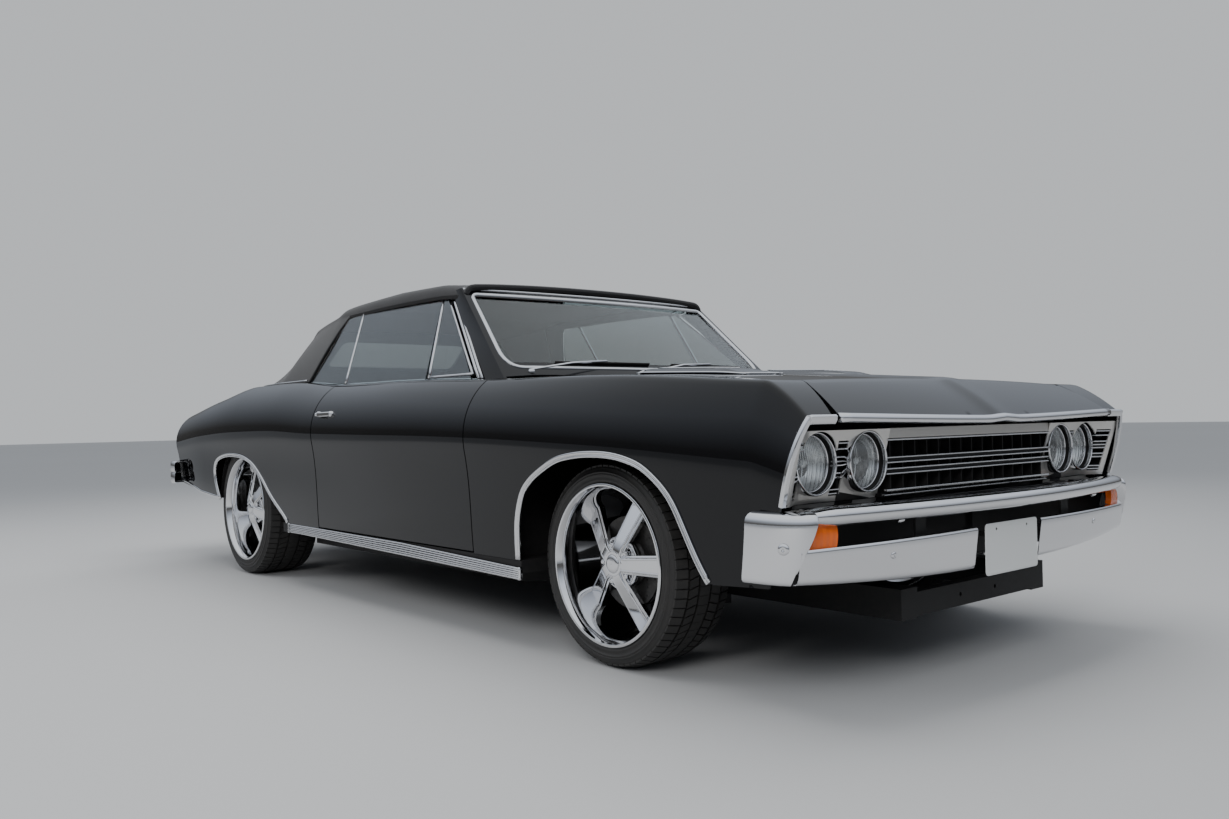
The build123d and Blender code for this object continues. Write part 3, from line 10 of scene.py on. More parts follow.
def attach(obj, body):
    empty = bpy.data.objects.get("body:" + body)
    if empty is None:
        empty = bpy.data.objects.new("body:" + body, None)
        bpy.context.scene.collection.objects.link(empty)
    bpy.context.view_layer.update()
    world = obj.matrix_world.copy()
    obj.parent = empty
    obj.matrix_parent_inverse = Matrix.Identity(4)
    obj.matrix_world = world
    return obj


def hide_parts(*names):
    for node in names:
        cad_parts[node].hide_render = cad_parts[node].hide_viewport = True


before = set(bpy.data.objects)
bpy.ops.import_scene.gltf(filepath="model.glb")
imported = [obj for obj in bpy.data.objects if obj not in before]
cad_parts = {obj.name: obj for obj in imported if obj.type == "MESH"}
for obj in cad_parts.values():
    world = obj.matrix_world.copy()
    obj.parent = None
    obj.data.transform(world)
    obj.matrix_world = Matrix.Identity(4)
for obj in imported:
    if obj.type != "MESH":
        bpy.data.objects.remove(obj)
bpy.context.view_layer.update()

# The picture is taken from ahead of the right front corner with a moderately wide lens.
# The camera stands at headlamp height and is tipped about a degree anticlockwise.
CAMERA_PLACE = Vector((4.0255, -2.9125, 0.7757))
yaw, pitch, roll = math.radians(139.56), math.radians(0.54), math.radians(-1.08)
forward = Vector((math.cos(pitch) * math.cos(yaw), math.cos(pitch) * math.sin(yaw), math.sin(pitch)))
level_right = forward.cross(Vector((0, 0, 1))).normalized()
level_up = level_right.cross(forward)
right = math.cos(roll) * level_right + math.sin(roll) * level_up
up = -math.sin(roll) * level_right + math.cos(roll) * level_up
camera_data = bpy.data.cameras.new("camera")
camera_data.sensor_width = 36.0
camera_data.lens = 36.0 * 1023.53 / 1229.0
camera_data.clip_end = 200.0
camera = bpy.data.objects.new("camera", camera_data)
turn = Matrix((right, up, -forward)).transposed().to_4x4()
camera.matrix_world = Matrix.Translation(CAMERA_PLACE) @ turn
bpy.context.scene.collection.objects.link(camera)
bpy.context.scene.camera = camera


def new_material(name):
    material = bpy.data.materials.new(name)
    material.use_nodes = True
    nodes = material.node_tree.nodes
    return material, nodes, material.node_tree.links, nodes["Principled BSDF"]


def new_mesh(name, points, faces, material=None, smooth=True):
    mesh = bpy.data.meshes.new(name)
    mesh.from_pydata([tuple(p) for p in points], [], [tuple(f) for f in faces])
    mesh.update()
    if smooth:
        mesh.polygons.foreach_set("use_smooth", [True] * len(mesh.polygons))
    thing = bpy.data.objects.new(name, mesh)
    bpy.context.scene.collection.objects.link(thing)
    if material:
        mesh.materials.append(material)
    return thing


# A plain pale studio floor carries the car. Large soft panels hang above and beside it to light it, but
# stay out of
# reflections: the black paint and the bright metal mirror the world's gradient instead.
floor_paint, nodes, links, shader = new_material("studio_floor")
grit = nodes.new("ShaderNodeTexNoise")
grit.inputs["Scale"].default_value = 6.0
grit.inputs["Detail"].default_value = 8.0
tone = nodes.new("ShaderNodeMapRange")
tone.inputs["To Min"].default_value = 0.30
tone.inputs["To Max"].default_value = 0.36
links.new(grit.outputs["Fac"], tone.inputs["Value"])
links.new(tone.outputs["Result"], shader.inputs["Base Color"])
shader.inputs["Roughness"].default_value = 0.75
FLOOR_REACH = 60.0
floor = new_mesh("floor", [(-FLOOR_REACH, -FLOOR_REACH, 0), (FLOOR_REACH, -FLOOR_REACH, 0),
                           (FLOOR_REACH, FLOOR_REACH, 0), (-FLOOR_REACH, FLOOR_REACH, 0)],
                 [(0, 1, 2, 3)], floor_paint, smooth=False)

world = bpy.data.worlds.new("studio")
world.use_nodes = True
bpy.context.scene.world = world
nodes, links = world.node_tree.nodes, world.node_tree.links
# what the car mirrors: a dark horizon under a bright ceiling; the camera itself sees one plain pale tone
direction = nodes.new("ShaderNodeTexCoord")
split = nodes.new("ShaderNodeSeparateXYZ")
height = nodes.new("ShaderNodeValToRGB")
height.color_ramp.elements[0].position = 0.0
height.color_ramp.elements[0].color = (0.10, 0.10, 0.10, 1)
height.color_ramp.elements[1].position = 0.85
height.color_ramp.elements[1].color = (0.92, 0.96, 1.0, 1)
for spot, colour in ((0.07, (0.12, 0.12, 0.12, 1)), (0.22, (0.34, 0.37, 0.42, 1)),
                     (0.45, (0.72, 0.78, 0.88, 1))):
    step = height.color_ramp.elements.new(spot)
    step.color = colour
seen = nodes.new("ShaderNodeLightPath")
plain_tone = nodes.new("ShaderNodeMix")
plain_tone.data_type = "RGBA"
plain_tone.inputs["B"].default_value = (0.60, 0.62, 0.64, 1)
links.new(direction.outputs["Generated"], split.inputs["Vector"])
links.new(split.outputs["Z"], height.inputs["Fac"])
links.new(height.outputs["Color"], plain_tone.inputs["A"])
links.new(seen.outputs["Is Camera Ray"], plain_tone.inputs["Factor"])
links.new(plain_tone.outputs["Result"], nodes["Background"].inputs["Color"])
nodes["Background"].inputs["Strength"].default_value = 1.0
# name: place, aimed at, width, height, watts
SOFT_LIGHTS = {
    "overhead": ((0.3, 0.0, 5.2), (0.0, 0.0, 0.0), 6.0, 3.4, 330),
    "right_front": ((4.6, -5.4, 3.6), (0.8, 0.0, 0.6), 3.6, 2.0, 260),
    "left_rear": ((-5.0, 5.0, 3.6), (0.0, 0.0, 0.8), 4.0, 2.4, 240),
    "right_rear": ((-4.6, -5.2, 3.2), (-0.5, 0.0, 0.6), 3.6, 1.6, 150),
}
for name, (place, aim, width, tall, watts) in SOFT_LIGHTS.items():
    lamp = bpy.data.lights.new(name, "AREA")
    lamp.shape, lamp.size, lamp.size_y, lamp.energy = "RECTANGLE", width, tall, watts
    holder = bpy.data.objects.new(name, lamp)
    holder.location = place
    holder.rotation_euler = (Vector(aim) - Vector(place)).to_track_quat("-Z", "Y").to_euler()
    bpy.context.scene.collection.objects.link(holder)
    holder.visible_glossy = holder.visible_transmission = False

# The sides are steel pressings under deep black gloss: front fender, door and rear quarter follow one
# smooth surface from sill to shoulder, and are parted by narrow shut lines with hemmed edges.
SHEET_T = 0.008
SHUT_GAP = 0.006
HEM_ANGLE = 50
SIDES = ((1, "left"), (-1, "right"))
DOOR_FRONT_X, DOOR_REAR_X = 0.905, -0.385
NOSE_X, LIP_X, LIP_CENTRE_X, TAIL_X = 2.240, 2.389, 2.424, -2.425
NOSE_TIP_Z, NOSE_RAKE = 0.770, 0.2737
# x, sill y, sill z, widest y, widest z, shoulder y, shoulder z, top y, top z, y of the inner edge
SIDE_ROWS = np.array([
    (-2425, 880, 445, 905, 640, 893, 762, 800, 850, 690),
    (-1900, 915, 390, 940, 680, 920, 825, 790, 930, 695),
    (-1351, 925, 330, 955, 690, 938, 856, 810, 985, 715),
    (-900, 925, 306, 958, 700, 941, 858, 820, 985, 775),
    (-385, 928, 306, 957, 690, 941, 835, 824, 958, 775),
    (260, 928, 306, 960, 690, 943, 828, 835, 950, 775),
    (905, 925, 306, 957, 670, 944, 812, 849, 930, 735),
    (1570, 925, 306, 955, 640, 943, 795, 865, 915, 725),
    (2240, 905, 325, 930, 600, 921, 750, 870, 872, 715),
    (2389, 905, 330, 925, 600, 915, 690, 885, 768, 778),
]) / 1000.0
WIDEST_B, TOP_B, INNER_B = 0.38, 0.72, 0.84
SIDE_FACING = (0, 1, 0.6)
CREASE_R = 0.009


def smooth_through(xs, ys, x):
    # a curve through the points that never swings past them
    h, d = np.diff(xs), np.diff(ys) / np.diff(xs)
    slope = np.zeros(len(xs))
    same = d[:-1] * d[1:] > 0
    w1, w2 = 2 * h[1:] + h[:-1], h[1:] + 2 * h[:-1]
    slope[1:-1][same] = (w1 + w2)[same] / (w1[same] / d[:-1][same] + w2[same] / d[1:][same])
    slope[0], slope[-1] = d[0], d[-1]
    i = np.clip(np.searchsorted(xs, x) - 1, 0, len(h) - 1)
    t = (x - xs[i]) / h[i]
    return ((1 + 2 * t) * (1 - t) ** 2 * ys[i] + t * (1 - t) ** 2 * h[i] * slope[i]
            + t * t * (3 - 2 * t) * ys[i + 1] + t * t * (t - 1) * h[i] * slope[i + 1])


def side_columns(x):
    # every column of the table at x, straight ahead of the nose crease
    rear = SIDE_ROWS[:-1]
    columns = np.array([smooth_through(rear[:, 0], rear[:, c], np.minimum(x, NOSE_X))
                        for c in range(1, 10)])
    t = np.clip((x - NOSE_X) / (LIP_X - NOSE_X), 0, 1.3)
    ahead = SIDE_ROWS[-1][1:, None] - SIDE_ROWS[-2][1:, None]
    columns = columns + ahead * t
    columns[7] = columns[7] + 0.035 * t * (1 - t)
    return columns


def side_raw(x, b):
    sill_y, sill_z, wide_y, wide_z, mid_y, mid_z, top_y, top_z, inner_y = side_columns(x)
    ax, az, bx, bz = mid_y - wide_y, mid_z - wide_z, top_y - wide_y, top_z - wide_z
    d = 2 * (ax * bz - az * bx)
    cy = (bz * (ax ** 2 + az ** 2) - az * (bx ** 2 + bz ** 2)) / d
    cz = (ax * (bx ** 2 + bz ** 2) - bx * (ax ** 2 + az ** 2)) / d
    radius = np.hypot(cy, cz)
    first = np.arctan2(-cz, -cy)
    last = np.arctan2(bz - cz, bx - cy)
    angle = first + (last - first) * np.clip((b - WIDEST_B) / (TOP_B - WIDEST_B), 0, 1)
    arc_y = wide_y + cy + radius * np.cos(angle)
    arc_z = wide_z + cz + radius * np.sin(angle)
    s = np.clip(b / WIDEST_B, 0, 1)
    long = np.hypot(wide_y - sill_y, wide_z - sill_z)
    h0, h1 = (1 + 2 * s) * (1 - s) ** 2, s * s * (3 - 2 * s)
    g0, g1 = s * (1 - s) ** 2, s * s * (s - 1)
    low_y = h0 * sill_y + h1 * wide_y + g0 * (wide_y - sill_y) - g1 * np.sin(first) * long
    low_z = h0 * sill_z + h1 * wide_z + g0 * (wide_z - sill_z) + g1 * np.cos(first) * long
    across = np.clip((b - TOP_B) / (INNER_B - TOP_B), 0, 1)
    y = np.where(b < WIDEST_B, low_y, arc_y + (inner_y - top_y) * across)
    z = np.where(b < WIDEST_B, low_z, arc_z)
    return y, z


def side_surface(x, b):
    # the sharp top edge and the nose crease are softened to the radius of a pressing
    x, b = np.broadcast_arrays(np.asarray(x, float), np.asarray(b, float))
    shape = x.shape
    x, b = x.ravel(), b.ravel()
    y, z = 0.0, 0.0
    for dx, wx in ((-CREASE_R, 0.25), (0, 0.5), (CREASE_R, 0.25)):
        for db, wb in ((-CREASE_R, 0.25), (0, 0.5), (CREASE_R, 0.25)):
            near = np.where(np.abs(x - NOSE_X) < 0.03, dx, 0)
            step = np.where(np.minimum(b, INNER_B - b) > CREASE_R, db, 0)
            py, pz = side_raw(x + near, b + step)
            y, z = y + wx * wb * py, z + wx * wb * pz
    return np.stack([x, y, z], -1).reshape(shape + (3,))


def side_b_at(x, z):
    # how far up the section a height lies
    steps = np.linspace(0, TOP_B, 90)
    heights = side_surface(np.full(90, x), steps)[:, 2]
    return float(np.interp(z, heights, steps))


def normals_of(surface, a, b, e, facing):
    # unit normals of a surface, from steps of e to either side, turned the way that facing points
    n = np.cross(surface(a + e, b) - surface(a - e, b), surface(a, b + e) - surface(a, b - e))
    n /= np.maximum(np.linalg.norm(n, axis=-1), 1e-9)[..., None]
    return np.where((n * facing).sum(axis=-1)[..., None] < 0, -n, n)


def inward(surface, depth):
    # the same surface moved in along its own normals
    return lambda a, b: surface(a, b) - normals_of(surface, a, b, 0.002, SIDE_FACING) * depth


def dense(points, step):
    # a closed outline with a point every step or so
    found = []
    for (ax, ay), (bx, by) in zip(points, points[1:] + points[:1]):
        count = max(1, round(math.hypot(bx - ax, by - ay) / step))
        for i in range(count):
            found.append((ax + (bx - ax) * i / count, ay + (by - ay) * i / count))
    return found


def inside(outline, points):
    ox, oy = np.array(outline).T
    nx, ny = np.roll(ox, -1), np.roll(oy, -1)
    px, py = points[:, 0][:, None], points[:, 1][:, None]
    rises = (oy > py) != (ny > py)
    with np.errstate(divide="ignore", invalid="ignore"):
        crossing = (nx - ox) * (py - oy) / (ny - oy) + ox
    return (np.sum(rises & (px < crossing), axis=1) % 2) == 1


def panel_mesh(outline, outer, inner, step, holes=()):
    # a sheet cut to an outline, with holes, its back face and its rims, as points and faces
    loops = [dense(outline, step)] + [dense(hole, min(step, 0.012)) for hole in holes]
    low, high = np.min(loops[0], axis=0), np.max(loops[0], axis=0)
    xs = np.arange(low[0] + step / 2, high[0], step)
    ys = np.arange(low[1] + step / 2, high[1], step)
    grid = np.stack(np.meshgrid(xs, ys), -1).reshape(-1, 2)
    within = lambda spots: (inside(loops[0], spots)
                            & ~np.any([inside(h, spots) for h in loops[1:]] or [[False]], 0))
    grid = grid[within(grid)]
    edge = np.vstack(loops)
    keep = np.ones(len(grid), bool)
    for k in range(0, len(edge), 50):
        gap = np.linalg.norm(grid[:, None] - edge[None, k:k + 50], axis=2).min(axis=1)
        keep &= gap > step * 0.45
    grid = grid[keep]
    flat = [Vector(p) for p in edge] + [Vector(p) for p in grid]
    walls, start = [], 0
    for loop in loops:
        walls += [(start + k, start + (k + 1) % len(loop)) for k in range(len(loop))]
        start += len(loop)
    found, _, faces, _, _, _ = delaunay_2d_cdt(flat, walls, [], 0, 1e-6, False)
    flat = np.array([tuple(v) for v in found])
    middles = np.array([flat[list(f)].mean(axis=0) for f in faces])
    faces = [f for f, kept in zip(faces, within(middles)) if kept]
    front, back = outer(flat[:, 0], flat[:, 1]), inner(flat[:, 0], flat[:, 1])
    count = len(flat)
    sides = {}
    for f in faces:
        for a, b in zip(f, f[1:] + f[:1]):
            sides[(a, b)] = True
    rims = [(b, a, a + count, b + count) for a, b in sides if (b, a) not in sides]
    faces = [tuple(f) for f in faces] + [tuple(v + count for v in reversed(f)) for f in faces] + rims
    return np.vstack([front, back]), faces


def fix_normals(thing, closed=False):
    # faces turned outwards; a closed sheet with a deep fold can come out turned in, and is turned back
    clean = bmesh.new()
    clean.from_mesh(thing.data)
    bmesh.ops.recalc_face_normals(clean, faces=clean.faces)
    if closed and clean.calc_volume(signed=True) < 0:
        bmesh.ops.reverse_faces(clean, faces=clean.faces)
    clean.to_mesh(thing.data)
    clean.free()
    return thing


def bevelled(thing, width, segments=2, angle=35):
    rounded = thing.modifiers.new("edges", "BEVEL")
    rounded.width, rounded.segments, rounded.limit_method = width, segments, "ANGLE"
    rounded.angle_limit, rounded.harden_normals = math.radians(angle), True
    return thing


def add_panel(name, outline, outer, inner, step, material, side=1, bevel=0.0015, holes=()):
    # a panel with hemmed edges; one without a hem keeps its edges sharp
    points, faces = panel_mesh(outline, outer, inner, step, holes)
    points[:, 1] *= side
    thing = fix_normals(new_mesh(name, points, faces, material), closed=True)
    if bevel:
        return bevelled(thing, bevel, 2, HEM_ANGLE)
    thing.data.set_sharp_from_angle(angle=math.radians(HEM_ANGLE))
    return thing


def fit(thing, body, stands_for=None):
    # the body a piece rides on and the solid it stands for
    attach(thing, body)
    if stands_for:
        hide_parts(stands_for)
    return thing


# how a texture drives the shader: socket, node, the node's input, its low and high ends, its output
DRIVEN = {
    "colour": ("Base Color", "ShaderNodeMix", "Factor", "A", "B", "Result"),
    "roughness": ("Roughness", "ShaderNodeMapRange", "Value", "To Min", "To Max", "Result"),
    "relief": ("Normal", "ShaderNodeBump", "Height", "Strength", "Distance", "Normal"),
}


def textured(name, plain, stretch=None, **driven):
    # colour, roughness and relief are each driven by (kind of texture, its settings, low end, high end),
    # read in object coordinates; plain holds the shader's constant values
    material, nodes, links, shader = new_material(name)
    spot = nodes.new("ShaderNodeTexCoord").outputs["Object"]
    if stretch:
        mapping = nodes.new("ShaderNodeMapping")
        mapping.inputs["Scale"].default_value = stretch
        links.new(spot, mapping.inputs["Vector"])
        spot = mapping.outputs["Vector"]
    for what, (kind, settings, low, high) in driven.items():
        socket, node, into, low_end, high_end, out = DRIVEN[what]
        texture, driver = nodes.new("ShaderNodeTex" + kind), nodes.new(node)
        for label, value in settings.items():
            texture.inputs[label].default_value = value
        if what == "colour":
            driver.data_type = "RGBA"
        driver.inputs[low_end].default_value = low
        driver.inputs[high_end].default_value = high
        links.new(spot, texture.inputs["Vector"])
        links.new(texture.outputs["Distance" if kind == "Voronoi" else "Fac"], driver.inputs[into])
        links.new(driver.outputs[out], shader.inputs[socket])
    for label, value in plain.items():
        shader.inputs[label].default_value = value
    return material


# Clear-coated black: nearly no colour of its own, a very fine orange peel and a trace of dust
black_gloss = textured("black_gloss", {
    "Base Color": (0.0025, 0.0025, 0.003, 1), "Specular IOR Level": 0.0, "IOR": 1.5,
    "Coat IOR": 1.42, "Coat Weight": 1.0, "Coat Roughness": 0.015,
}, roughness=("Noise", {"Scale": 9.0, "Detail": 6.0}, 0.03, 0.09),
    relief=("Noise", {"Scale": 240.0, "Detail": 2.0}, 0.012, 0.001))

FRONT_ARCH_XZ = [(2.053, 0.319), (2.022, 0.365), (1.985, 0.436), (1.940, 0.530), (1.908, 0.571),
                 (1.867, 0.606), (1.825, 0.634), (1.760, 0.652), (1.692, 0.662), (1.602, 0.663),
                 (1.524, 0.657), (1.436, 0.643), (1.339, 0.602), (1.288, 0.575), (1.242, 0.540),
                 (1.215, 0.490), (1.197, 0.434), (1.192, 0.370), (1.189, 0.306)]
REAR_ARCH_XZ = [(-0.745, 0.306), (-0.764, 0.328), (-0.926, 0.420), (-1.025, 0.505), (-1.128, 0.573),
                (-1.222, 0.601), (-1.300, 0.613), (-1.405, 0.617), (-1.500, 0.614), (-1.591, 0.602),
                (-1.645, 0.588), (-1.685, 0.566), (-1.703, 0.535), (-1.700, 0.483), (-1.672, 0.430),
                (-1.645, 0.385)]


def rounded_path(points, passes=2):
    # cuts the corners of an open path, keeping its ends
    for _ in range(passes):
        cut = [points[0]]
        for (ax, ay), (bx, by) in zip(points[:-1], points[1:]):
            cut += [(0.75 * ax + 0.25 * bx, 0.75 * ay + 0.25 * by),
                    (0.25 * ax + 0.75 * bx, 0.25 * ay + 0.75 * by)]
        points = cut + [points[-1]]
    return points


front_arch = rounded_path(FRONT_ARCH_XZ)
rear_arch = rounded_path(REAR_ARCH_XZ)
arch_on_side = lambda arch: [(x, max(0.0, side_b_at(x, z))) for x, z in arch]
nose_edge = [(LIP_X - (NOSE_TIP_Z - z) * NOSE_RAKE, z) for z in (0.766, 0.70, 0.60, 0.50, 0.40, 0.33)]
fender_outline = ([(DOOR_FRONT_X, 0.0), (DOOR_FRONT_X, INNER_B), (NOSE_X, INNER_B), (LIP_X, INNER_B),
                   (LIP_X, TOP_B)] + [(x, side_b_at(x, z)) for x, z in nose_edge[1:]]
                  + arch_on_side(front_arch))
door_low = side_b_at(0.26, 0.312)
door_outline = [(DOOR_FRONT_X - SHUT_GAP, door_low), (DOOR_FRONT_X - SHUT_GAP, INNER_B - 0.002),
                (DOOR_REAR_X + SHUT_GAP, INNER_B - 0.002), (DOOR_REAR_X + SHUT_GAP, door_low)]
quarter_outline = ([(DOOR_REAR_X, 0.0)] + arch_on_side(rear_arch)
                   + [(TAIL_X, 0.0), (TAIL_X, INNER_B), (DOOR_REAR_X, INNER_B)])
for side, word in SIDES:
    inner = inward(side_surface, SHEET_T)
    for name, outline, body, stands_for in (("_front_fender", fender_outline, "body", "fenders"),
                                            ("_rear_quarter", quarter_outline, "body", "quarter_panels"),
                                            ("_door_skin", door_outline, word + "_door", word + "_door")):
        # one piece stands for a node that holds both sides
        if body == "body" and side == -1:
            stands_for = None
        fit(add_panel(word + name, outline, side_surface, inner, 0.014, black_gloss, side), body,
            stands_for)
    core_outline = [(0.884, door_low + 0.006), (0.884, TOP_B - 0.02), (-0.370, TOP_B - 0.02),
                    (-0.370, door_low + 0.006)]
    flat_back = lambda a, b: np.stack([np.maximum(a, -0.336), np.where(a > 0.684, 0.806, 0.775) + 0 * a,
                                       side_surface(a, b)[:, 2] + 0.012 * (b > TOP_B - 0.05)], -1)
    fit(add_panel(word + "_door_shell", core_outline, inward(side_surface, SHEET_T + 0.0005), flat_back,
                  0.05, black_gloss, side), word + "_door")

# The hood is one crowned pressing whose nose folds down to a lip swept back at both ends, with a low
# centre ridge and two raised dummy intakes. It hangs on two goosenecks under the cowl.
HOOD_REAR_X = 1.010
HOOD_T = 0.012
hood_xs = np.array([HOOD_REAR_X, 1.570, NOSE_X])


def hood_surface(x, y):
    x, y = np.broadcast_arrays(np.asarray(x, float), np.asarray(y, float))
    total = 0.0
    for dx, weight in ((-0.010, 0.25), (0, 0.5), (0.010, 0.25)):
        at = x + np.where(np.abs(x - NOSE_X) < 0.05, dx, 0)
        edge = smooth_through(hood_xs, np.array([0.934, 0.915, 0.872]), np.minimum(at, NOSE_X))
        crown = smooth_through(hood_xs, np.array([0.020, 0.014, 0.012]), np.minimum(at, NOSE_X))
        half = smooth_through(hood_xs, np.array([0.729, 0.719, 0.709]), np.minimum(at, NOSE_X))
        t = np.clip((at - NOSE_X) / (LIP_CENTRE_X - NOSE_X), 0, 1.1)
        edge = edge - 0.118 * t + 0.030 * t * (1 - t)
        crown = crown - 0.004 * t
        half = half + 0.070 * t
        ridge = 0.006 * np.exp(-(y / 0.055) ** 2)
        total = total + weight * (edge + crown * (1 - (y / half) ** 2) + ridge)
    # each intake is a long low box with sloping ends and sides
    along = np.clip(np.minimum((x - 1.190) / 0.050, (1.760 - x) / 0.150), 0, 1)
    beside = np.clip((0.100 - np.abs(np.abs(y) - 0.300)) / 0.030, 0, 1)
    lift = along * along * (3 - 2 * along) * beside * beside * (3 - 2 * beside)
    return np.stack([x, y, total + 0.020 * lift], -1)


def hood_edge(x):
    return float(np.interp(x, [HOOD_REAR_X, 1.570, NOSE_X, LIP_X, LIP_CENTRE_X],
                           [0.729, 0.719, 0.709, 0.772, 0.772]))


hood_lip = [(LIP_CENTRE_X - 0.029 * abs(y / 0.772) ** 1.6, y) for y in np.linspace(-0.766, 0.766, 41)]
hood_sides = [(x, hood_edge(x)) for x in np.linspace(NOSE_X + 0.05, HOOD_REAR_X, 24)]
hood_outline = ([(x, -y) for x, y in reversed(hood_sides)] + hood_lip + hood_sides)
under = lambda surface, depth: lambda a, b: surface(a, b) - np.array([0, 0, depth])
fit(add_panel("hood_panel", hood_outline, hood_surface, under(hood_surface, HOOD_T), 0.02, black_gloss),
    "hood", "hood")


def box_mesh(one, other):
    # a box between two opposite corners
    (x0, x1), (y0, y1), (z0, z1) = (sorted(ends) for ends in zip(one, other))
    points = [(x0, y0, z0), (x1, y0, z0), (x1, y1, z0), (x0, y1, z0),
              (x0, y0, z1), (x1, y0, z1), (x1, y1, z1), (x0, y1, z1)]
    return points, [(0, 3, 2, 1), (4, 5, 6, 7), (0, 1, 5, 4), (1, 2, 6, 5), (2, 3, 7, 6), (3, 0, 4, 7)]


def joined(name, parts, material, smooth=True):
    # several meshes, given as points and faces, as one object
    points, faces = [], []
    for some_points, some_faces in parts:
        start = len(points)
        points += [tuple(p) for p in some_points]
        faces += [tuple(v + start for v in f) for f in some_faces]
    return new_mesh(name, points, faces, material, smooth)


def add_piece(name, parts, material, body, stands_for=None, bevel=None, smooth=True):
    # meshes joined, turned face out and fitted, with their edges rounded by (width, segments, angle)
    thing = fix_normals(joined(name, parts, material, smooth))
    if bevel:
        bevelled(thing, *bevel)
    return fit(thing, body, stands_for)


# Hood and trunk lid each hang on two satin black goosenecks that bend round the hinge pins
# and are welded to the lid's underside.
grain = {"Scale": 60.0, "Detail": 5.0}
satin_black = textured("satin_black", {"Specular IOR Level": 0.2}, roughness=("Noise", grain, 0.38, 0.62),
                       colour=("Noise", grain, (0.008, 0.008, 0.009, 1), (0.022, 0.021, 0.020, 1)))

# place of the hinge pin in x and z, x where the arm ends, y of the hinge, height of the lid's underside
HINGES = {"hood": (0.954, 0.912, 1.070, 0.600, 0.9190), "trunk_lid": (-1.590, 0.938, -1.706, 0.560, 0.9400)}
NECK_DROP, ARM_T, ARM_W, FOOT_L = 0.056, 0.008, 0.030, 0.020
for body, (pin_x, pin_z, reach, hinge_y, top) in HINGES.items():
    way = 1 if reach > pin_x else -1
    low_z = pin_z - NECK_DROP
    arms = []
    for side in (1, -1):
        y0, y1 = side * hinge_y - ARM_W / 2, side * hinge_y + ARM_W / 2
        arms += [box_mesh((pin_x - way * ARM_T / 2, y0, low_z), (reach, y1, low_z + ARM_T)),
                 box_mesh((pin_x - ARM_T / 2, y0, low_z + ARM_T), (pin_x + ARM_T / 2, y1, pin_z)),
                 box_mesh((reach - way * FOOT_L, y0, low_z + ARM_T), (reach, y1, top))]
    necks = bevelled(joined(body + "_goosenecks", arms, satin_black, smooth=False), 0.0015)
    fit(necks, body)

# Each intake has a bright frame along the foot of its outer walls and round its sloping ends, and a grid
# of fine bars in the top, all stamped and plated.
chrome = textured("bright_plate", {"Base Color": (0.78, 0.78, 0.79, 1), "Metallic": 1.0},
                  roughness=("Noise", {"Scale": 14.0, "Detail": 7.0, "Roughness": 0.65}, 0.02, 0.11))


def skinned(rows, around, looped=False, open_side=False, capped=False):
    # faces that join rows of points, each row going round a section of so many points
    faces = []
    for i in range(rows if looped else rows - 1):
        for k in range(around - 1 if open_side else around):
            a, b = i * around + k, i * around + (k + 1) % around
            c, d = ((i + 1) % rows) * around + (k + 1) % around, ((i + 1) % rows) * around + k
            faces.append((a, b, c, d))
    if capped:
        faces += [tuple(range(around))[::-1], tuple((rows - 1) * around + k for k in range(around))]
    return faces


def ribbon(path, profile, ups, closed=False):
    # a profile carried along a path: profile points are (across, up), ups gives the way up at each point
    path = [Vector(p) for p in path]
    points, n = [], len(path)
    for i, here in enumerate(path):
        before = path[i - 1] if i or closed else here
        after = path[(i + 1) % n] if i < n - 1 or closed else here
        along = (after - before).normalized()
        up_way = Vector(ups[i]) if isinstance(ups, list) else Vector(ups)
        across = along.cross(up_way).normalized()
        up_way = across.cross(along).normalized()
        points += [here + across * a + up_way * u for a, u in profile]
    return points, skinned(n, len(profile), looped=closed, capped=not closed)


def half_round(width, height, steps=6):
    # a domed strip's section, flat side down
    return [(width / 2 * math.cos(math.pi * k / steps), height * math.sin(math.pi * k / steps))
            for k in range(steps + 1)]


def eased_strip(half, foot, shoulder, flat, crest):
    # a strip's section: straight sides from foot to shoulder, eased edges and a flat crest
    return [(-half, foot), (half, foot), (half, shoulder), (flat, crest), (-flat, crest), (-half, shoulder)]


frames = []
for side in (1, -1):
    for edge in (0.392, 0.208):
        xs = np.concatenate([np.linspace(1.200, 1.250, 6), np.linspace(1.300, 1.600, 8),
                             np.linspace(1.640, 1.740, 8)])
        ys = np.full(len(xs), side * edge)
        foot = hood_surface(xs, ys)
        foot[:, 2] += 0.001
        frames.append(ribbon(foot, half_round(0.009, 0.005), (0, 0, 1)))
    for x in (1.212, 1.735):
        ys = side * np.linspace(0.208, 0.392, 10)
        frames.append(ribbon(hood_surface(np.full(10, x), ys) + np.array([0, 0, 0.001]),
                             half_round(0.008, 0.005), (0, 0, 1)))
    for k in range(6):
        y = side * (0.235 + 0.026 * k)
        xs = np.linspace(1.290, 1.570, 10)
        frames.append(ribbon(hood_surface(xs, np.full(10, y)), half_round(0.006, 0.004), (0, 0, 1)))
add_piece("hood_intake_frames", frames, chrome, "hood")

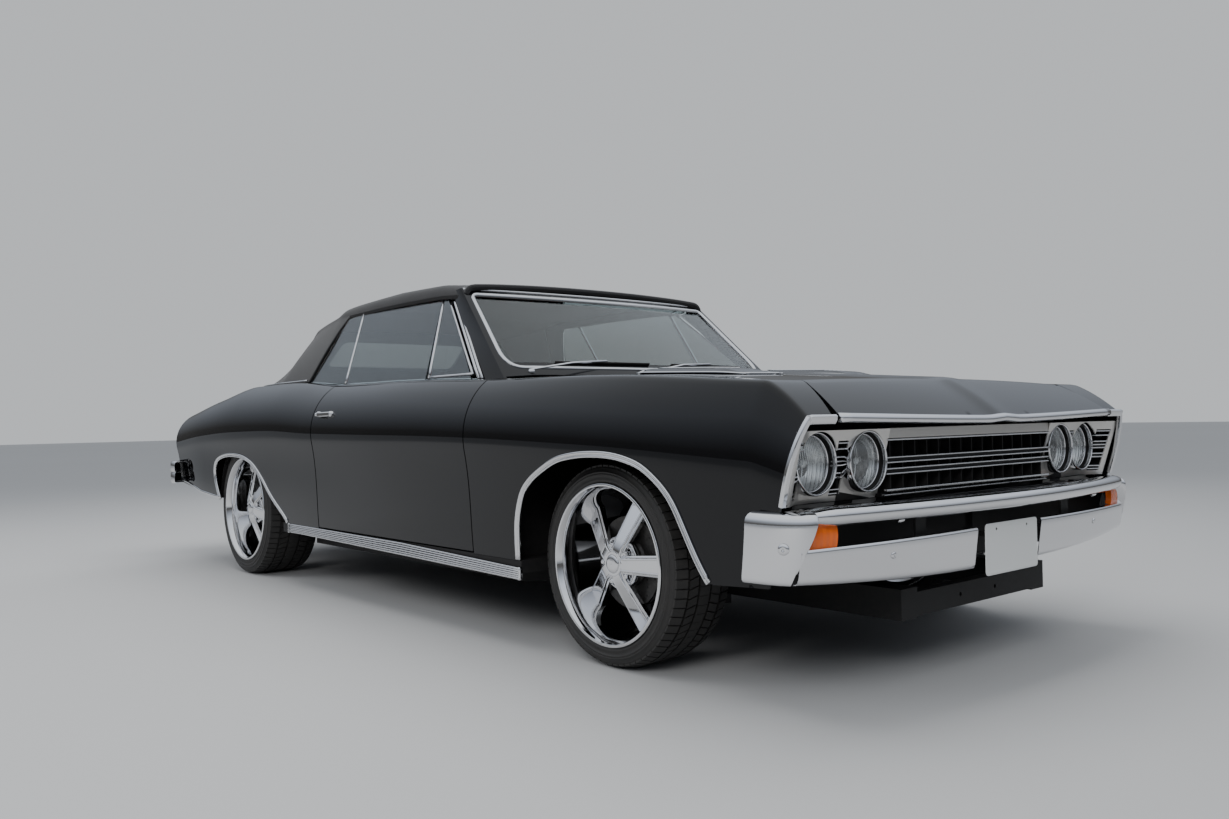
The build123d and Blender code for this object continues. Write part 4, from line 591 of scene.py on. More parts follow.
# A bright moulding of folded and plated sheet caps the hood's lip. It runs on across the fender ends
# and down their front edges, so that it frames the whole face.
lip_path = [(x + 0.004, y, float(hood_surface(x, y)[2]) - 0.004) for x, y in hood_lip]
lip_section = [(-0.012, 0.004), (-0.006, 0.009), (0.004, 0.0085), (0.012, 0.002), (0.013, -0.010),
               (0.006, -0.016), (-0.004, -0.016), (-0.010, -0.006)]
add_piece("hood_lip_moulding", [ribbon(lip_path, lip_section, (0, 0, 1))], chrome, "hood")
caps = []
for side in (1, -1):
    across = []
    for k in range(12):
        b = INNER_B - 0.002 - (INNER_B - TOP_B) * k / 11
        p = side_surface(LIP_X - 0.004, b)
        across.append((float(p[0]) + 0.006, side * float(p[1]), float(p[2]) - 0.003))
    section = lip_section if side == -1 else [(-a, u) for a, u in lip_section]
    caps.append(ribbon(across, section, (0, 0, 1)))
    drop = []
    for z in np.linspace(0.770, 0.545, 16):
        x = LIP_X - (NOSE_TIP_Z - z) * NOSE_RAKE
        b = side_b_at(x, min(z, NOSE_TIP_Z - 0.002))
        p = side_surface(x, b)
        drop.append((x + 0.003, side * (float(p[1]) - 0.001), z))
    caps.append(ribbon(drop, eased_strip(0.007, -0.010, 0.004, 0.004, 0.0065), (0, side, 0)))
add_piece("fender_end_mouldings", caps, chrome, "body", bevel=(0.001, 1))

# Behind the cabin a deck panel is welded between the quarters. The trunk lid is one pressing that
# runs back from it, folds down at the tail and ends above the tail panel.
DECK_X = np.array([-2.425, -1.900, -1.646, -1.520])
DECK_EDGE_Z = np.array([0.852, 0.930, 0.957, 0.970])
DECK_CROWN = np.array([0.016, 0.020, 0.008, 0.014])


def deck_height(x, y):
    return smooth_through(DECK_X, DECK_EDGE_Z, x) + np.interp(x, DECK_X, DECK_CROWN) * (1 - (y / 0.70) ** 2)


def deck_surface(x, y):
    x, y = np.asarray(x, float), np.asarray(y, float)
    return np.stack([x, y, deck_height(x, y)], -1)


deck_outline = [(-1.640, -0.706), (-1.520, -0.714), (-1.520, 0.714), (-1.640, 0.706)]
fit(add_panel("deck_filler", deck_outline, deck_surface, under(deck_surface, 0.01), 0.02, black_gloss),
    "body", "deck_panel")

LID_FRONT_X = -1.652
LID_LONG, LID_FALL = LID_FRONT_X - TAIL_X, 0.058


def lid_surface(s, y):
    # s runs back along the top, round the tail fold and down the rear face
    s, y = np.asarray(s, float), np.asarray(y, float)
    total = 0.0
    for ds, weight in ((-0.014, 0.15), (-0.007, 0.2), (0, 0.3), (0.007, 0.2), (0.014, 0.15)):
        at = s + ds
        x = np.maximum(LID_FRONT_X - at, TAIL_X)
        down = np.maximum(TAIL_X - (LID_FRONT_X - at), 0)
        total = total + weight * np.stack([x, y, deck_height(x, y) - down], -1)
    return total


lid_outline = [(0.0, -0.694), (0.0, 0.694), (LID_LONG, 0.684), (LID_LONG + LID_FALL, 0.684),
               (LID_LONG + LID_FALL, -0.684), (LID_LONG, -0.684)]
fit(add_panel("trunk_lid_panel", lid_outline, lid_surface, inward(lid_surface, 0.01), 0.02, black_gloss),
    "trunk_lid", "trunk_lid")


def recoat(names, material):
    # solids whose shape is kept take only a finish
    for name in names:
        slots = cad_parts[name].data.materials
        slots.clear()
        slots.append(material)


recoat(("deck_panel", "tail_panel", "windshield_frame"), black_gloss)
recoat(("frame", "body_tub", "front_inner_panels", "suspension_arms", "left_knuckle", "right_knuckle",
        "rear_axle", "propshaft", "fuel_tank"), satin_black)

# The tyres are wide low-profile radials: a moulded carcass with a rim-guard bead and raised rings,
# and a tread of five rows of siped blocks, every pitch the same, set round the crown.
TREAD_COUNT, GROOVE_D, TREAD_EDGE = 68, 0.008, 0.012
RIM_FLANGE = 0.014
# axle, x of the axle, tyre radius, rim radius, width, y of the rim's lip
WHEELS = (("front", 1.570, 0.322, 0.2535, 0.245, 0.873), ("rear", -1.351, 0.342, 0.2667, 0.275, 0.905))
CORNERS = [(axle, word, side, *sizes) for axle, *sizes in WHEELS for side, word in SIDES]


def spun(profile, steps=128, closed=True):
    # a profile of (radius, y) turned about the Y axis
    points = []
    for i in range(steps):
        a = 2 * math.pi * i / steps
        points += [(r * math.sin(a), y, r * math.cos(a)) for r, y in profile]
    return points, skinned(steps, len(profile), looped=True, open_side=not closed)


def copies_tree(name, source, *sizes):
    # sets a copy of the item at each point that the source makes, as plain mesh in one finish
    tree = bpy.data.node_groups.new(name, "GeometryNodeTree")
    sockets = [("Geometry", "INPUT", "Geometry"), ("Geometry", "OUTPUT", "Geometry"),
               ("Count", "INPUT", "Int"), *((label, "INPUT", kind) for label, kind in sizes),
               ("Finish", "INPUT", "Material")]
    for label, way, kind in sockets:
        tree.interface.new_socket(label, in_out=way, socket_type="NodeSocket" + kind)
    given, result, points, place_items, real, coat = [tree.nodes.new(kind) for kind in (
        "NodeGroupInput", "NodeGroupOutput", source, "GeometryNodeInstanceOnPoints",
        "GeometryNodeRealizeInstances", "GeometryNodeSetMaterial")]
    for start, out, end, into in (
            (given, "Count", points, "Count"), (points, 0, place_items, "Points"),
            (given, "Geometry", place_items, "Instance"), (place_items, "Instances", real, "Geometry"),
            (real, "Geometry", coat, "Geometry"), (given, "Finish", coat, "Material"),
            (coat, "Geometry", result, "Geometry")):
        tree.links.new(start.outputs[out], end.inputs[into])
    return tree, given, points, place_items


# one item set round an axle, a whole number of times
round_tree, given, _, place_items = copies_tree("set_round_an_axle", "GeometryNodePoints",
                                                ("Turn", "Float"))
number, share, twist = [round_tree.nodes.new(kind) for kind in (
    "GeometryNodeInputIndex", "ShaderNodeMath", "ShaderNodeCombineXYZ")]
share.operation = "MULTIPLY"
round_tree.links.new(number.outputs["Index"], share.inputs[0])
round_tree.links.new(given.outputs["Turn"], share.inputs[1])
round_tree.links.new(share.outputs["Value"], twist.inputs["Y"])
round_tree.links.new(twist.outputs["Vector"], place_items.inputs["Rotation"])


def repeated(item, tree, place=(0, 0, 0), **values):
    # runs a tree on an item, keeps the result as a plain mesh and moves it to its place
    doing = item.modifiers.new("repeat", "NODES")
    doing.node_group = tree
    for socket in tree.interface.items_tree:
        if socket.in_out == "INPUT" and socket.name in values:
            doing[socket.identifier] = values[socket.name]
    bpy.context.view_layer.update()
    ready = item.evaluated_get(bpy.context.evaluated_depsgraph_get())
    mesh = bpy.data.meshes.new_from_object(ready)
    item.modifiers.remove(doing)
    item.data = mesh
    mesh.transform(Matrix.Translation(place))
    return item


def on_axle(thing, x, tyre_r, side, spin=Matrix.Identity(4)):
    # from the middle of its own axle to its corner of the car, with its faces turned out again
    thing.data.transform(Matrix.Translation((x, 0, tyre_r)) @ Matrix.Diagonal((1, side, 1, 1)) @ spin)
    return fix_normals(thing)


def tread_pitch(r, width, middle, angle):
    # one pitch: two shoulder blocks, two middle blocks and a centre rib, each with sloping ends
    rows = [(-0.500, -0.330, 0.0, 0.16), (-0.290, -0.130, 0.35, 0.16), (-0.095, 0.095, 0.0, 0.05),
            (0.130, 0.290, -0.35, 0.16), (0.330, 0.500, 0.0, 0.16)]
    parts = []
    for low, high, slant, gap in rows:
        points = []
        for depth in (GROOVE_D + 0.004, 0.0):
            for side_y, share in ((low, slant), (high, -slant)):
                y = middle + side_y * width
                drop = 0.010 * max(0.0, (abs(side_y) - 0.36) / 0.14) ** 1.6
                for end in (-0.5 + gap / 2, 0.5 - gap / 2):
                    a = (end + share * 0.5) * angle
                    radius = r - depth - drop
                    points.append((radius * math.sin(a), y, radius * math.cos(a)))
        parts.append((points, [(4, 5, 7, 6), (0, 1, 5, 4), (2, 6, 7, 3), (0, 4, 6, 2), (1, 3, 7, 5)]))
    return parts


scuff = {"Scale": 35.0, "Detail": 8.0}
tyre_rubber = textured("tyre_rubber", {},
                       colour=("Noise", scuff, (0.010, 0.010, 0.010, 1), (0.030, 0.028, 0.026, 1)),
                       roughness=("Noise", scuff, 0.42, 0.72), relief=("Noise", scuff, 0.25, 0.0006))
for axle, word, side, axle_x, tyre_r, rim_r, width, lip_y in CORNERS:
    corner = "%s_%s" % (axle, word)
    middle, half = lip_y - width / 2, width / 2
    wall = [(rim_r - RIM_FLANGE + 0.001, half - 0.013), (rim_r + 0.004, half - 0.0055),
            (rim_r + 0.008, half - 0.0015), (rim_r + 0.013, half - 0.0012), (rim_r + 0.016, half - 0.0045),
            (rim_r + 0.026, half - 0.0025), (rim_r + 0.027, half - 0.0012), (rim_r + 0.0295, half - 0.0012),
            (rim_r + 0.0305, half - 0.003), (tyre_r - 0.034, half - 0.0035),
            (tyre_r - 0.0335, half - 0.0022), (tyre_r - 0.0315, half - 0.0024),
            (tyre_r - 0.031, half - 0.0045), (tyre_r - 0.022, half - 0.0085),
            (tyre_r - 0.015, half - 0.0125), (tyre_r - GROOVE_D - 0.003, half - 0.024),
            (tyre_r - GROOVE_D, half - 0.045)]
    profile = [(r, middle + y) for r, y in wall] + [(r, middle - y) for r, y in reversed(wall)]
    pitch_turn = 2 * math.pi / TREAD_COUNT
    pitch = tread_pitch(tyre_r, width - 2 * TREAD_EDGE, middle, pitch_turn)
    blocks = fix_normals(joined("wheel_" + corner + "_tread", pitch, tyre_rubber, smooth=False))
    repeated(blocks, round_tree, Count=TREAD_COUNT, Turn=pitch_turn, Finish=tyre_rubber)
    tyre = joined("wheel_" + corner + "_tyre", [spun(profile)], tyre_rubber)
    fit(on_axle(tyre, axle_x, tyre_r, side), "wheel_" + corner, "tyre_" + corner)
    fit(on_axle(blocks, axle_x, tyre_r, side), "wheel_" + corner)

# The wheels are one-piece castings with a deep polished barrel, all chromed: five flat-faced spokes
# with stepped edges fall back from the hub to the middle of the barrel, a nut pocket between each pair.
HUB_FACE, SPOKE_DISH, NUT_CIRCLE_R = 0.034, 0.110, 0.0603
SPOKE_TURN = 2 * math.pi / 5
RIM_TURN = {"front": 18, "rear": 36}


def spoke_mesh(tip_r, lip_y):
    points = []
    stations = np.linspace(0.020, tip_r, 12)
    for r in stations:
        t = np.clip((r - 0.052) / (tip_r - 0.052), 0, 1)
        half_w = 0.0185 + 0.0095 * t
        face = lip_y - HUB_FACE - (SPOKE_DISH - HUB_FACE) * t
        deep = 0.022 + 0.011 * t
        half = [(half_w + 0.0105, -deep), (half_w + 0.0105, -0.0095), (half_w + 0.0085, -0.0075),
                (half_w + 0.0040, -0.0065), (half_w + 0.0020, -0.0015), (half_w, 0.0),
                (half_w - 0.0025, 0.0), (half_w - 0.0040, -0.0012), (half_w - 0.0055, -0.0012)]
        section = [(-a, d) for a, d in half] + [(a, d) for a, d in reversed(half)]
        points += [(a, face + d, r) for a, d in section]
    return points, skinned(len(stations), len(section), capped=True)


def five_between(part, hub_y):
    # plain copies of a part, one on the nut circle between each pair of spokes
    many = []
    for k in range(5):
        spin = (Matrix.Rotation(SPOKE_TURN * (k + 0.5), 4, "Y")
                @ Matrix.Translation((0, hub_y, NUT_CIRCLE_R)))
        many.append(([tuple(spin @ Vector(p)) for p in part[0]], part[1]))
    return many


wheel_chrome = chrome.copy()
wheel_chrome.name = "wheel_chrome"
for axle, word, side, axle_x, tyre_r, rim_r, width, lip_y in CORNERS:
    corner = "%s_%s" % (axle, word)
    seat_r, back_y, hub_y = rim_r - RIM_FLANGE, lip_y - width, lip_y - HUB_FACE
    barrel = spun([(rim_r + 0.001, lip_y + 0.0005), (rim_r + 0.0025, lip_y - 0.002),
                   (rim_r + 0.001, lip_y - 0.006), (seat_r, lip_y - 0.012), (seat_r, back_y + 0.012),
                   (rim_r, back_y + 0.004), (rim_r - 0.001, back_y), (rim_r - 0.006, back_y),
                   (seat_r - 0.012, back_y + 0.016), (seat_r - 0.010, lip_y - SPOKE_DISH - 0.030),
                   (seat_r - 0.008, lip_y - 0.060), (seat_r - 0.006, lip_y - 0.024),
                   (seat_r - 0.002, lip_y - 0.013), (rim_r - 0.012, lip_y - 0.006),
                   (rim_r - 0.008, lip_y + 0.001), (rim_r - 0.004, lip_y + 0.002)])
    spokes = joined("wheel_" + corner + "_spokes", [spoke_mesh(seat_r - 0.008, lip_y)], wheel_chrome)
    repeated(spokes, round_tree, Count=5, Turn=SPOKE_TURN, Finish=wheel_chrome)
    hub = spun([(0.001, hub_y + 0.007), (0.018, hub_y + 0.0065), (0.0265, hub_y + 0.005),
                (0.0290, hub_y + 0.003), (0.0295, hub_y + 0.0005), (0.038, hub_y + 0.0005),
                (0.040, hub_y - 0.002), (0.042, hub_y - 0.022), (0.046, hub_y - 0.027),
                (0.074, hub_y - 0.029), (0.079, hub_y - 0.026), (0.083, hub_y - 0.027),
                (0.085, hub_y - 0.031), (0.085, hub_y - 0.041), (0.001, hub_y - 0.041)], 64, closed=False)
    pocket = spun([(0.0135, -0.0275), (0.0150, -0.0225), (0.0172, -0.0220), (0.0185, -0.0235),
                   (0.0190, -0.030)], 24, closed=False)
    nut = spun([(0.001, -0.006), (0.006, -0.0065), (0.0088, -0.009), (0.0100, -0.013), (0.0106, -0.031)],
               6, closed=False)
    rim = joined("wheel_" + corner + "_rim", [barrel, hub] + five_between(pocket, hub_y)
                 + five_between(nut, hub_y), wheel_chrome)
    for piece, stands_for in ((rim, "rim_" + corner), (spokes, None)):
        on_axle(piece, axle_x, tyre_r, side, Matrix.Rotation(math.radians(RIM_TURN[axle]), 4, "Y"))
        piece.data.polygons.foreach_set("use_smooth", [True] * len(piece.data.polygons))
        fit(bevelled(piece, 0.0012, 2, 32), "wheel_" + corner, stands_for)

# Behind the spokes turns a drilled iron disc on a dark hat, machined from a casting; its holes are shown as
# painted shade. A cast caliper, fixed to the knuckle or the rear axle, grips its rear edge.
disc_iron = textured("disc_iron", {"Metallic": 0.9, "Roughness": 0.48},
                     colour=("Noise", {"Scale": 90.0, "Detail": 3.0}, (0.045, 0.043, 0.041, 1),
                             (0.11, 0.105, 0.10, 1)))
DISC_R, DISC_HOLE_R, DISC_Y, DISC_T = 0.145, 0.080, 0.745, 0.026
DRILLED_R = (0.098, 0.112, 0.128)
for axle, word, side, axle_x, tyre_r, rim_r, width, lip_y in CORNERS:
    corner = "%s_%s" % (axle, word)
    hub_back = lip_y - 0.076
    plate = spun([(DISC_HOLE_R, DISC_Y + 0.001), (DISC_R, DISC_Y + 0.001), (DISC_R, DISC_Y + 0.009),
                  (DISC_R - 0.004, DISC_Y + 0.010), (DISC_R - 0.004, DISC_Y + 0.017),
                  (DISC_R, DISC_Y + 0.018), (DISC_R, DISC_Y + DISC_T), (DISC_HOLE_R, DISC_Y + DISC_T)], 96)
    hat = spun([(DISC_HOLE_R, DISC_Y + 0.004), (DISC_HOLE_R, DISC_Y + DISC_T),
                (0.072, DISC_Y + DISC_T + 0.006), (0.072, hub_back), (0.010, hub_back),
                (0.010, DISC_Y + 0.002)], 64)
    disc = joined("wheel_" + corner + "_brake_disc", [plate, hat], disc_iron)
    # the disc is not cut through: each hole is a small black cap on its face, painted shade where the hole
    # shows dark
    points, faces = spun([(0.0001, 0.0006), (0.0032, 0.0006), (0.0042, -0.001)], 10, closed=False)
    holes = []
    for k in range(36):
        r, a = DRILLED_R[k % 3], 2 * math.pi * k / 36
        holes.append(([(x + r * math.sin(a), y + DISC_Y + DISC_T, z + r * math.cos(a))
                       for x, y, z in points], faces))
    hole_shade_caps = joined("wheel_" + corner + "_disc_hole_shade", holes, satin_black)
    fit(on_axle(disc, axle_x, tyre_r, side), "wheel_" + corner, "brake_disc_" + corner)
    fit(on_axle(hole_shade_caps, axle_x, tyre_r, side), "wheel_" + corner)
    bevelled(disc, 0.001, 1, 40)
    grip_section = ((0.100, 0.031), (0.134, 0.029), (0.153, 0.020), (0.156, 0.000), (0.150, -0.012),
                    (0.088, -0.012))
    grip = []
    for k in range(13):
        a = math.radians(250 - 5 * k)
        grip += [(r * math.sin(a), DISC_Y + y, r * math.cos(a)) for r, y in grip_section]
    faces = skinned(13, len(grip_section), open_side=True, capped=True)
    caliper = on_axle(new_mesh("wheel_" + corner + "_caliper", grip, faces, disc_iron),
                      axle_x, tyre_r, side)
    fit(bevelled(caliper, 0.004, 3, 30), word + "_knuckle" if axle == "front" else "body")

# The front: a satin header band over an egg-crate of black blades and paired bright bars, swept lamp panels
# with slats, and four sealed-beam lamps in deep bright drums. Everything here stays with the body.
LAMPS = ((0.752, 2.303), (0.553, 2.325))
LAMP_Z = 0.647


def panel_x(y, z=0.647):
    # the panels lean like the fenders' ends and swing forward to meet them
    y, z = np.abs(np.asarray(y, float)), np.asarray(z, float)
    t = np.clip((y - 0.462) / 0.300, 0, 1)
    own = 2.318 - 0.014 * t + 0.27 * (z - LAMP_Z)
    end = LIP_X - (NOSE_TIP_Z - z) * NOSE_RAKE - 0.008
    s = np.clip((y - 0.790) / 0.100, 0, 1)
    s = s * s * (3 - 2 * s)
    return own + (end - own) * s


brush = {"Scale": 1.0, "Detail": 3.0}
satin_silver = textured("satin_silver", {"Base Color": (0.72, 0.70, 0.665, 1), "Metallic": 0.75},
                        stretch=(60.0, 6.0, 900.0), roughness=("Noise", brush, 0.30, 0.44),
                        relief=("Noise", brush, 0.06, 0.0004))


def lens_material(name, colour, pitch, rough, see_through):
    # moulded glass or plastic whose upper half is finely fluted and whose lower half is in broad blocks
    material, nodes, links, shader = new_material(name)
    split, pick, ribs = [nodes.new("ShaderNode" + kind) for kind in ("SeparateXYZ", "Mix", "Bump")]
    links.new(nodes.new("ShaderNodeTexCoord").outputs["Object"], split.inputs["Vector"])
    for axis, rule, size, into in (("Z", "GREATER_THAN", LAMP_Z, "Factor"),
                                   ("Y", "PINGPONG", pitch * 2.6, "A"),
                                   ("Y", "PINGPONG", pitch, "B")):
        worked = nodes.new("ShaderNodeMath")
        worked.operation = rule
        worked.inputs[1].default_value = size
        links.new(split.outputs[axis], worked.inputs[0])
        links.new(worked.outputs["Value"], pick.inputs[into])
    links.new(pick.outputs["Result"], ribs.inputs["Height"])
    links.new(ribs.outputs["Normal"], shader.inputs["Normal"])
    ribs.inputs["Strength"].default_value = 0.30
    ribs.inputs["Distance"].default_value = 0.6
    for label, value in (("Base Color", colour), ("Roughness", rough), ("Transmission Weight", see_through),
                         ("IOR", 1.5)):
        shader.inputs[label].default_value = value
    return material


lamp_glass = lens_material("lamp_glass", (0.93, 0.95, 0.95, 1), 0.0035, 0.03, 0.92)
amber_lens = lens_material("amber_lens", (0.95, 0.17, 0.012, 1), 0.0040, 0.10, 0.35)
red_lens = lens_material("red_lens", (0.62, 0.008, 0.006, 1), 0.0040, 0.10, 0.35)
circle = lambda cy, cz, r, n: [(cy + r * math.cos(2 * math.pi * k / n),
                                cz + r * math.sin(2 * math.pi * k / n)) for k in range(n)]
WINDOWS = [[(0.632, 0.556), (0.673, 0.556), (0.673, 0.706), (0.632, 0.706)],
           [(0.826, 0.556), (0.866, 0.556), (0.878, 0.706), (0.826, 0.706)]]
panel_at = lambda depth: lambda a, b: np.stack([panel_x(a, b) - depth, a, b], -1)
panel_outline = [(0.462, 0.541), (0.893, 0.541), (0.905, 0.735), (0.462, 0.735)]
lamp_holes = [circle(y, LAMP_Z, 0.0855, 64) for y, _ in LAMPS]
for side, word in SIDES:
    fit(add_panel(word + "_lamp_panel", panel_outline, panel_at(0), panel_at(0.004), 0.01, satin_silver,
                  side, 0.0008, WINDOWS + lamp_holes), "body")
    bars = []
    for z in (0.700, 0.684, 0.662, 0.650, 0.639, 0.618, 0.606, 0.573, 0.562):
        for y0, y1 in ((0.630, 0.675), (0.826, 0.868 + (z - 0.556) * 0.08)):
            points, faces = box_mesh((-0.012, 0, -0.0022), (0.001, 1, 0.0022))
            bars.append(([(px + float(panel_x(y0 + (y1 - y0) * py, z)), side * (y0 + (y1 - y0) * py),
                           z + pz) for px, py, pz in points], faces))
    add_piece(word + "_lamp_slats", bars, chrome, "body", bevel=(0.0012,), smooth=False)

add_piece("header_band", [box_mesh((2.3, -0.466, 0.707), (2.334, 0.466, 0.737))], satin_silver, "body",
          "grille", bevel=(0.002,), smooth=False)
GRILLE_HALF = 0.468
grille_box = lambda x0, x1, z0, z1, half=GRILLE_HALF: box_mesh((x0, -half, z0), (x1, half, z1))
strips = [grille_box(2.322, 2.3365, 0.7005, 0.7065), grille_box(2.312, 2.323, 0.545, 0.549)]
for low, high in ((0.6505, 0.6555), (0.6365, 0.6415), (0.6185, 0.6235), (0.6045, 0.6095), (0.5575, 0.5640)):
    strips.append(grille_box(2.320, 2.331, low, high))
add_piece("grille_bars", strips, chrome, "body", bevel=(0.0018,), smooth=False)

# one item set along a line
row_tree, given, line, _ = copies_tree("set_in_a_row", "GeometryNodeMeshLine", ("Step", "Vector"))
row_tree.links.new(given.outputs["Step"], line.inputs["Offset"])
BLADE_COUNT, BLADE_STEP = 15, 0.062
blade = new_mesh("grille_blades", *grille_box(2.290, 2.319, 0.548, 0.704, 0.002), smooth=False)
repeated(blade, row_tree, (0, -(BLADE_COUNT - 1) / 2 * BLADE_STEP, 0), Count=BLADE_COUNT,
         Step=(0.0, BLADE_STEP, 0.0), Finish=satin_black)
fit(blade, "body")
shelves = [grille_box(2.288, 2.3195, 0.6415, 0.6505), grille_box(2.288, 2.3195, 0.6095, 0.6185),
           grille_box(2.282, 2.288, 0.541, 0.735, 0.640), grille_box(2.288, 2.312, 0.541, 0.551)]
for side in (1, -1):
    shelves += [box_mesh((2.245, side * 0.640, 0.541), (2.251, side * 0.900, 0.735)),
                box_mesh((2.245, side * 0.886, 0.545), (2.320, side * 0.892, 0.740))]
add_piece("grille_back", shelves, satin_black, "body", bevel=(0.0006,), smooth=False)


# Each sealed-beam lamp sits in a deep bright drum: a polished outer ring, a dark recess, a retaining
# ring, a fluted glass and a silvered bowl with a bulb shield behind it.
def about_x(profile, face, y, z, steps=96):
    # a profile of (radius, ahead of the face) turned about a line that runs forward through the lamp
    points, faces = spun(profile, steps)
    return [(face + py, y + px, z + pz) for px, py, pz in points], faces


lamp_silver = textured("lamp_silver", {"Base Color": (0.97, 0.97, 0.97, 1), "Metallic": 1.0},
                       roughness=("Noise", {"Scale": 30.0}, 0.26, 0.36))
drums, gaps, glasses, bowls = [], [], [], []
for side in (1, -1):
    for y, face in LAMPS:
        here = (face, side * y, LAMP_Z)
        drums.append(about_x([(0.0845, -0.040), (0.0862, -0.038), (0.0862, 0.005), (0.0850, 0.0085),
                              (0.0830, 0.0100), (0.0805, 0.0090), (0.0795, 0.0060), (0.0795, -0.002),
                              (0.0815, -0.004), (0.0835, -0.036)], *here))
        drums.append(about_x([(0.0775, -0.022), (0.0775, -0.0145), (0.0762, -0.0125), (0.0742, -0.0125),
                              (0.0728, -0.0145), (0.0728, -0.022)], *here))
        gaps.append(about_x([(0.0815, -0.004), (0.0790, -0.004), (0.0772, -0.020), (0.0720, -0.024),
                             (0.0815, -0.040)], *here))
        outer_face = [(0.0729 * t, -0.019 + 0.0150 * (1 - t ** 2)) for t in np.linspace(1, 0.02, 14)]
        glasses.append(about_x(outer_face + [(r, x - 0.003) for r, x in reversed(outer_face)], *here))
        bowl = [(0.0730 * t, -0.024 - 0.038 * (1 - t ** 2)) for t in np.linspace(1, 0.03, 16)]
        bowls.append(about_x(bowl + [(r, x - 0.002) for r, x in reversed(bowl)], *here))
        bowls.append(about_x([(0.010, -0.045), (0.011, -0.037), (0.007, -0.033), (0.0005, -0.032),
                              (0.0005, -0.045)], *here, 32))
for name, some, material, slot, stands_for in (
        ("lamp_rings", drums, chrome, "bright_trim", "headlamps"),
        ("lamp_recesses", gaps, satin_black, "grille_plastic", None),
        ("lamp_glasses", glasses, lamp_glass, "lamp_glass", None),
        ("lamp_bowls", bowls, lamp_silver, "bright_trim", None)):
    add_piece(name, some, material, "body", stands_for, bevel=(0.0003, 1, 60))

# The front bumper: a bowed upper bar that runs into flared end pods, and a lower blade on each side that is
# set back behind a dark slot with the amber lamps. A blank plate hangs in the gap at the centre.
BUMPER_FRONT_X = 2.502
BOW_R = (0.908 ** 2 + 0.098 ** 2) / (2 * 0.098)


def bow(y):
    return BUMPER_FRONT_X - BOW_R + np.sqrt(BOW_R ** 2 - np.minimum(np.abs(y), 0.93) ** 2)


BAR_HALF, BAR_MIDDLE_Z = 0.868, 0.518
bar_path = [(float(bow(y)), float(y), 0.5) for y in np.linspace(-BAR_HALF, BAR_HALF, 65)]
bar_section = [(-0.046, 0.0420), (-0.030, 0.0430), (-0.016, 0.0400), (-0.005, 0.0325), (-0.0003, 0.0225),
               (-0.0015, 0.0130), (-0.007, 0.0020), (-0.015, -0.0050), (-0.030, -0.0065), (-0.046, -0.001)]
points, faces = ribbon(bar_path, bar_section, (0, 0, 1))


def drawn_in(p):
    # the last stretch of the bar thins and falls back, so that it runs out into the pod
    t = min(1.0, max(0.0, (abs(p[1]) - BAR_HALF + 0.078) / 0.078)) ** 2
    return (p[0] - 0.012 * t, p[1], BAR_MIDDLE_Z + (p[2] - BAR_MIDDLE_Z) * (1 - 0.30 * t))


shapes = [([drawn_in(p) for p in points], faces)]


def sheet_between(rows, thick, outward=(1, 0, 0)):
    # a grid of rows as a pressing of some thickness, set off along its own normals away from outward
    rows = np.array(rows)
    n, m = rows.shape[:2]
    normal = np.cross(np.gradient(rows, axis=0), np.gradient(rows, axis=1))
    normal /= np.maximum(np.linalg.norm(normal, axis=2), 1e-9)[..., None]
    if (normal @ np.array(outward)).mean() < 0:
        normal = -normal
    points = [tuple(p) for layer in (rows, rows - normal * thick) for p in layer.reshape(-1, 3)]
    at = lambda i, j, k: k * n * m + i * m + j
    faces = []
    for i in range(n - 1):
        for j in range(m - 1):
            faces.append((at(i, j, 0), at(i + 1, j, 0), at(i + 1, j + 1, 0), at(i, j + 1, 0)))
            faces.append((at(i, j, 1), at(i, j + 1, 1), at(i + 1, j + 1, 1), at(i + 1, j, 1)))
    border = ([(i, 0) for i in range(n)] + [(n - 1, j) for j in range(1, m)]
              + [(i, m - 1) for i in range(n - 2, -1, -1)] + [(0, j) for j in range(m - 2, 0, -1)])
    for (a, b), (c, d) in zip(border, border[1:] + border[:1]):
        faces.append((at(a, b, 0), at(a, b, 1), at(c, d, 1), at(c, d, 0)))
    return points, faces


def along_path(points, count):
    # evenly spaced spots on a plan path
    points = np.array(points, float)
    step = np.r_[0, np.cumsum(np.linalg.norm(np.diff(points, axis=0), axis=1))]
    t = np.linspace(0, step[-1], count)
    return np.stack([np.interp(t, step, points[:, k]) for k in range(points.shape[1])], -1)


def curve_through(a, b, c, t):
    # from a to c, drawn towards b
    t = np.asarray(t, float)[..., None]
    return (1 - t) ** 2 * np.array(a) + 2 * t * (1 - t) * np.array(b) + t ** 2 * np.array(c)


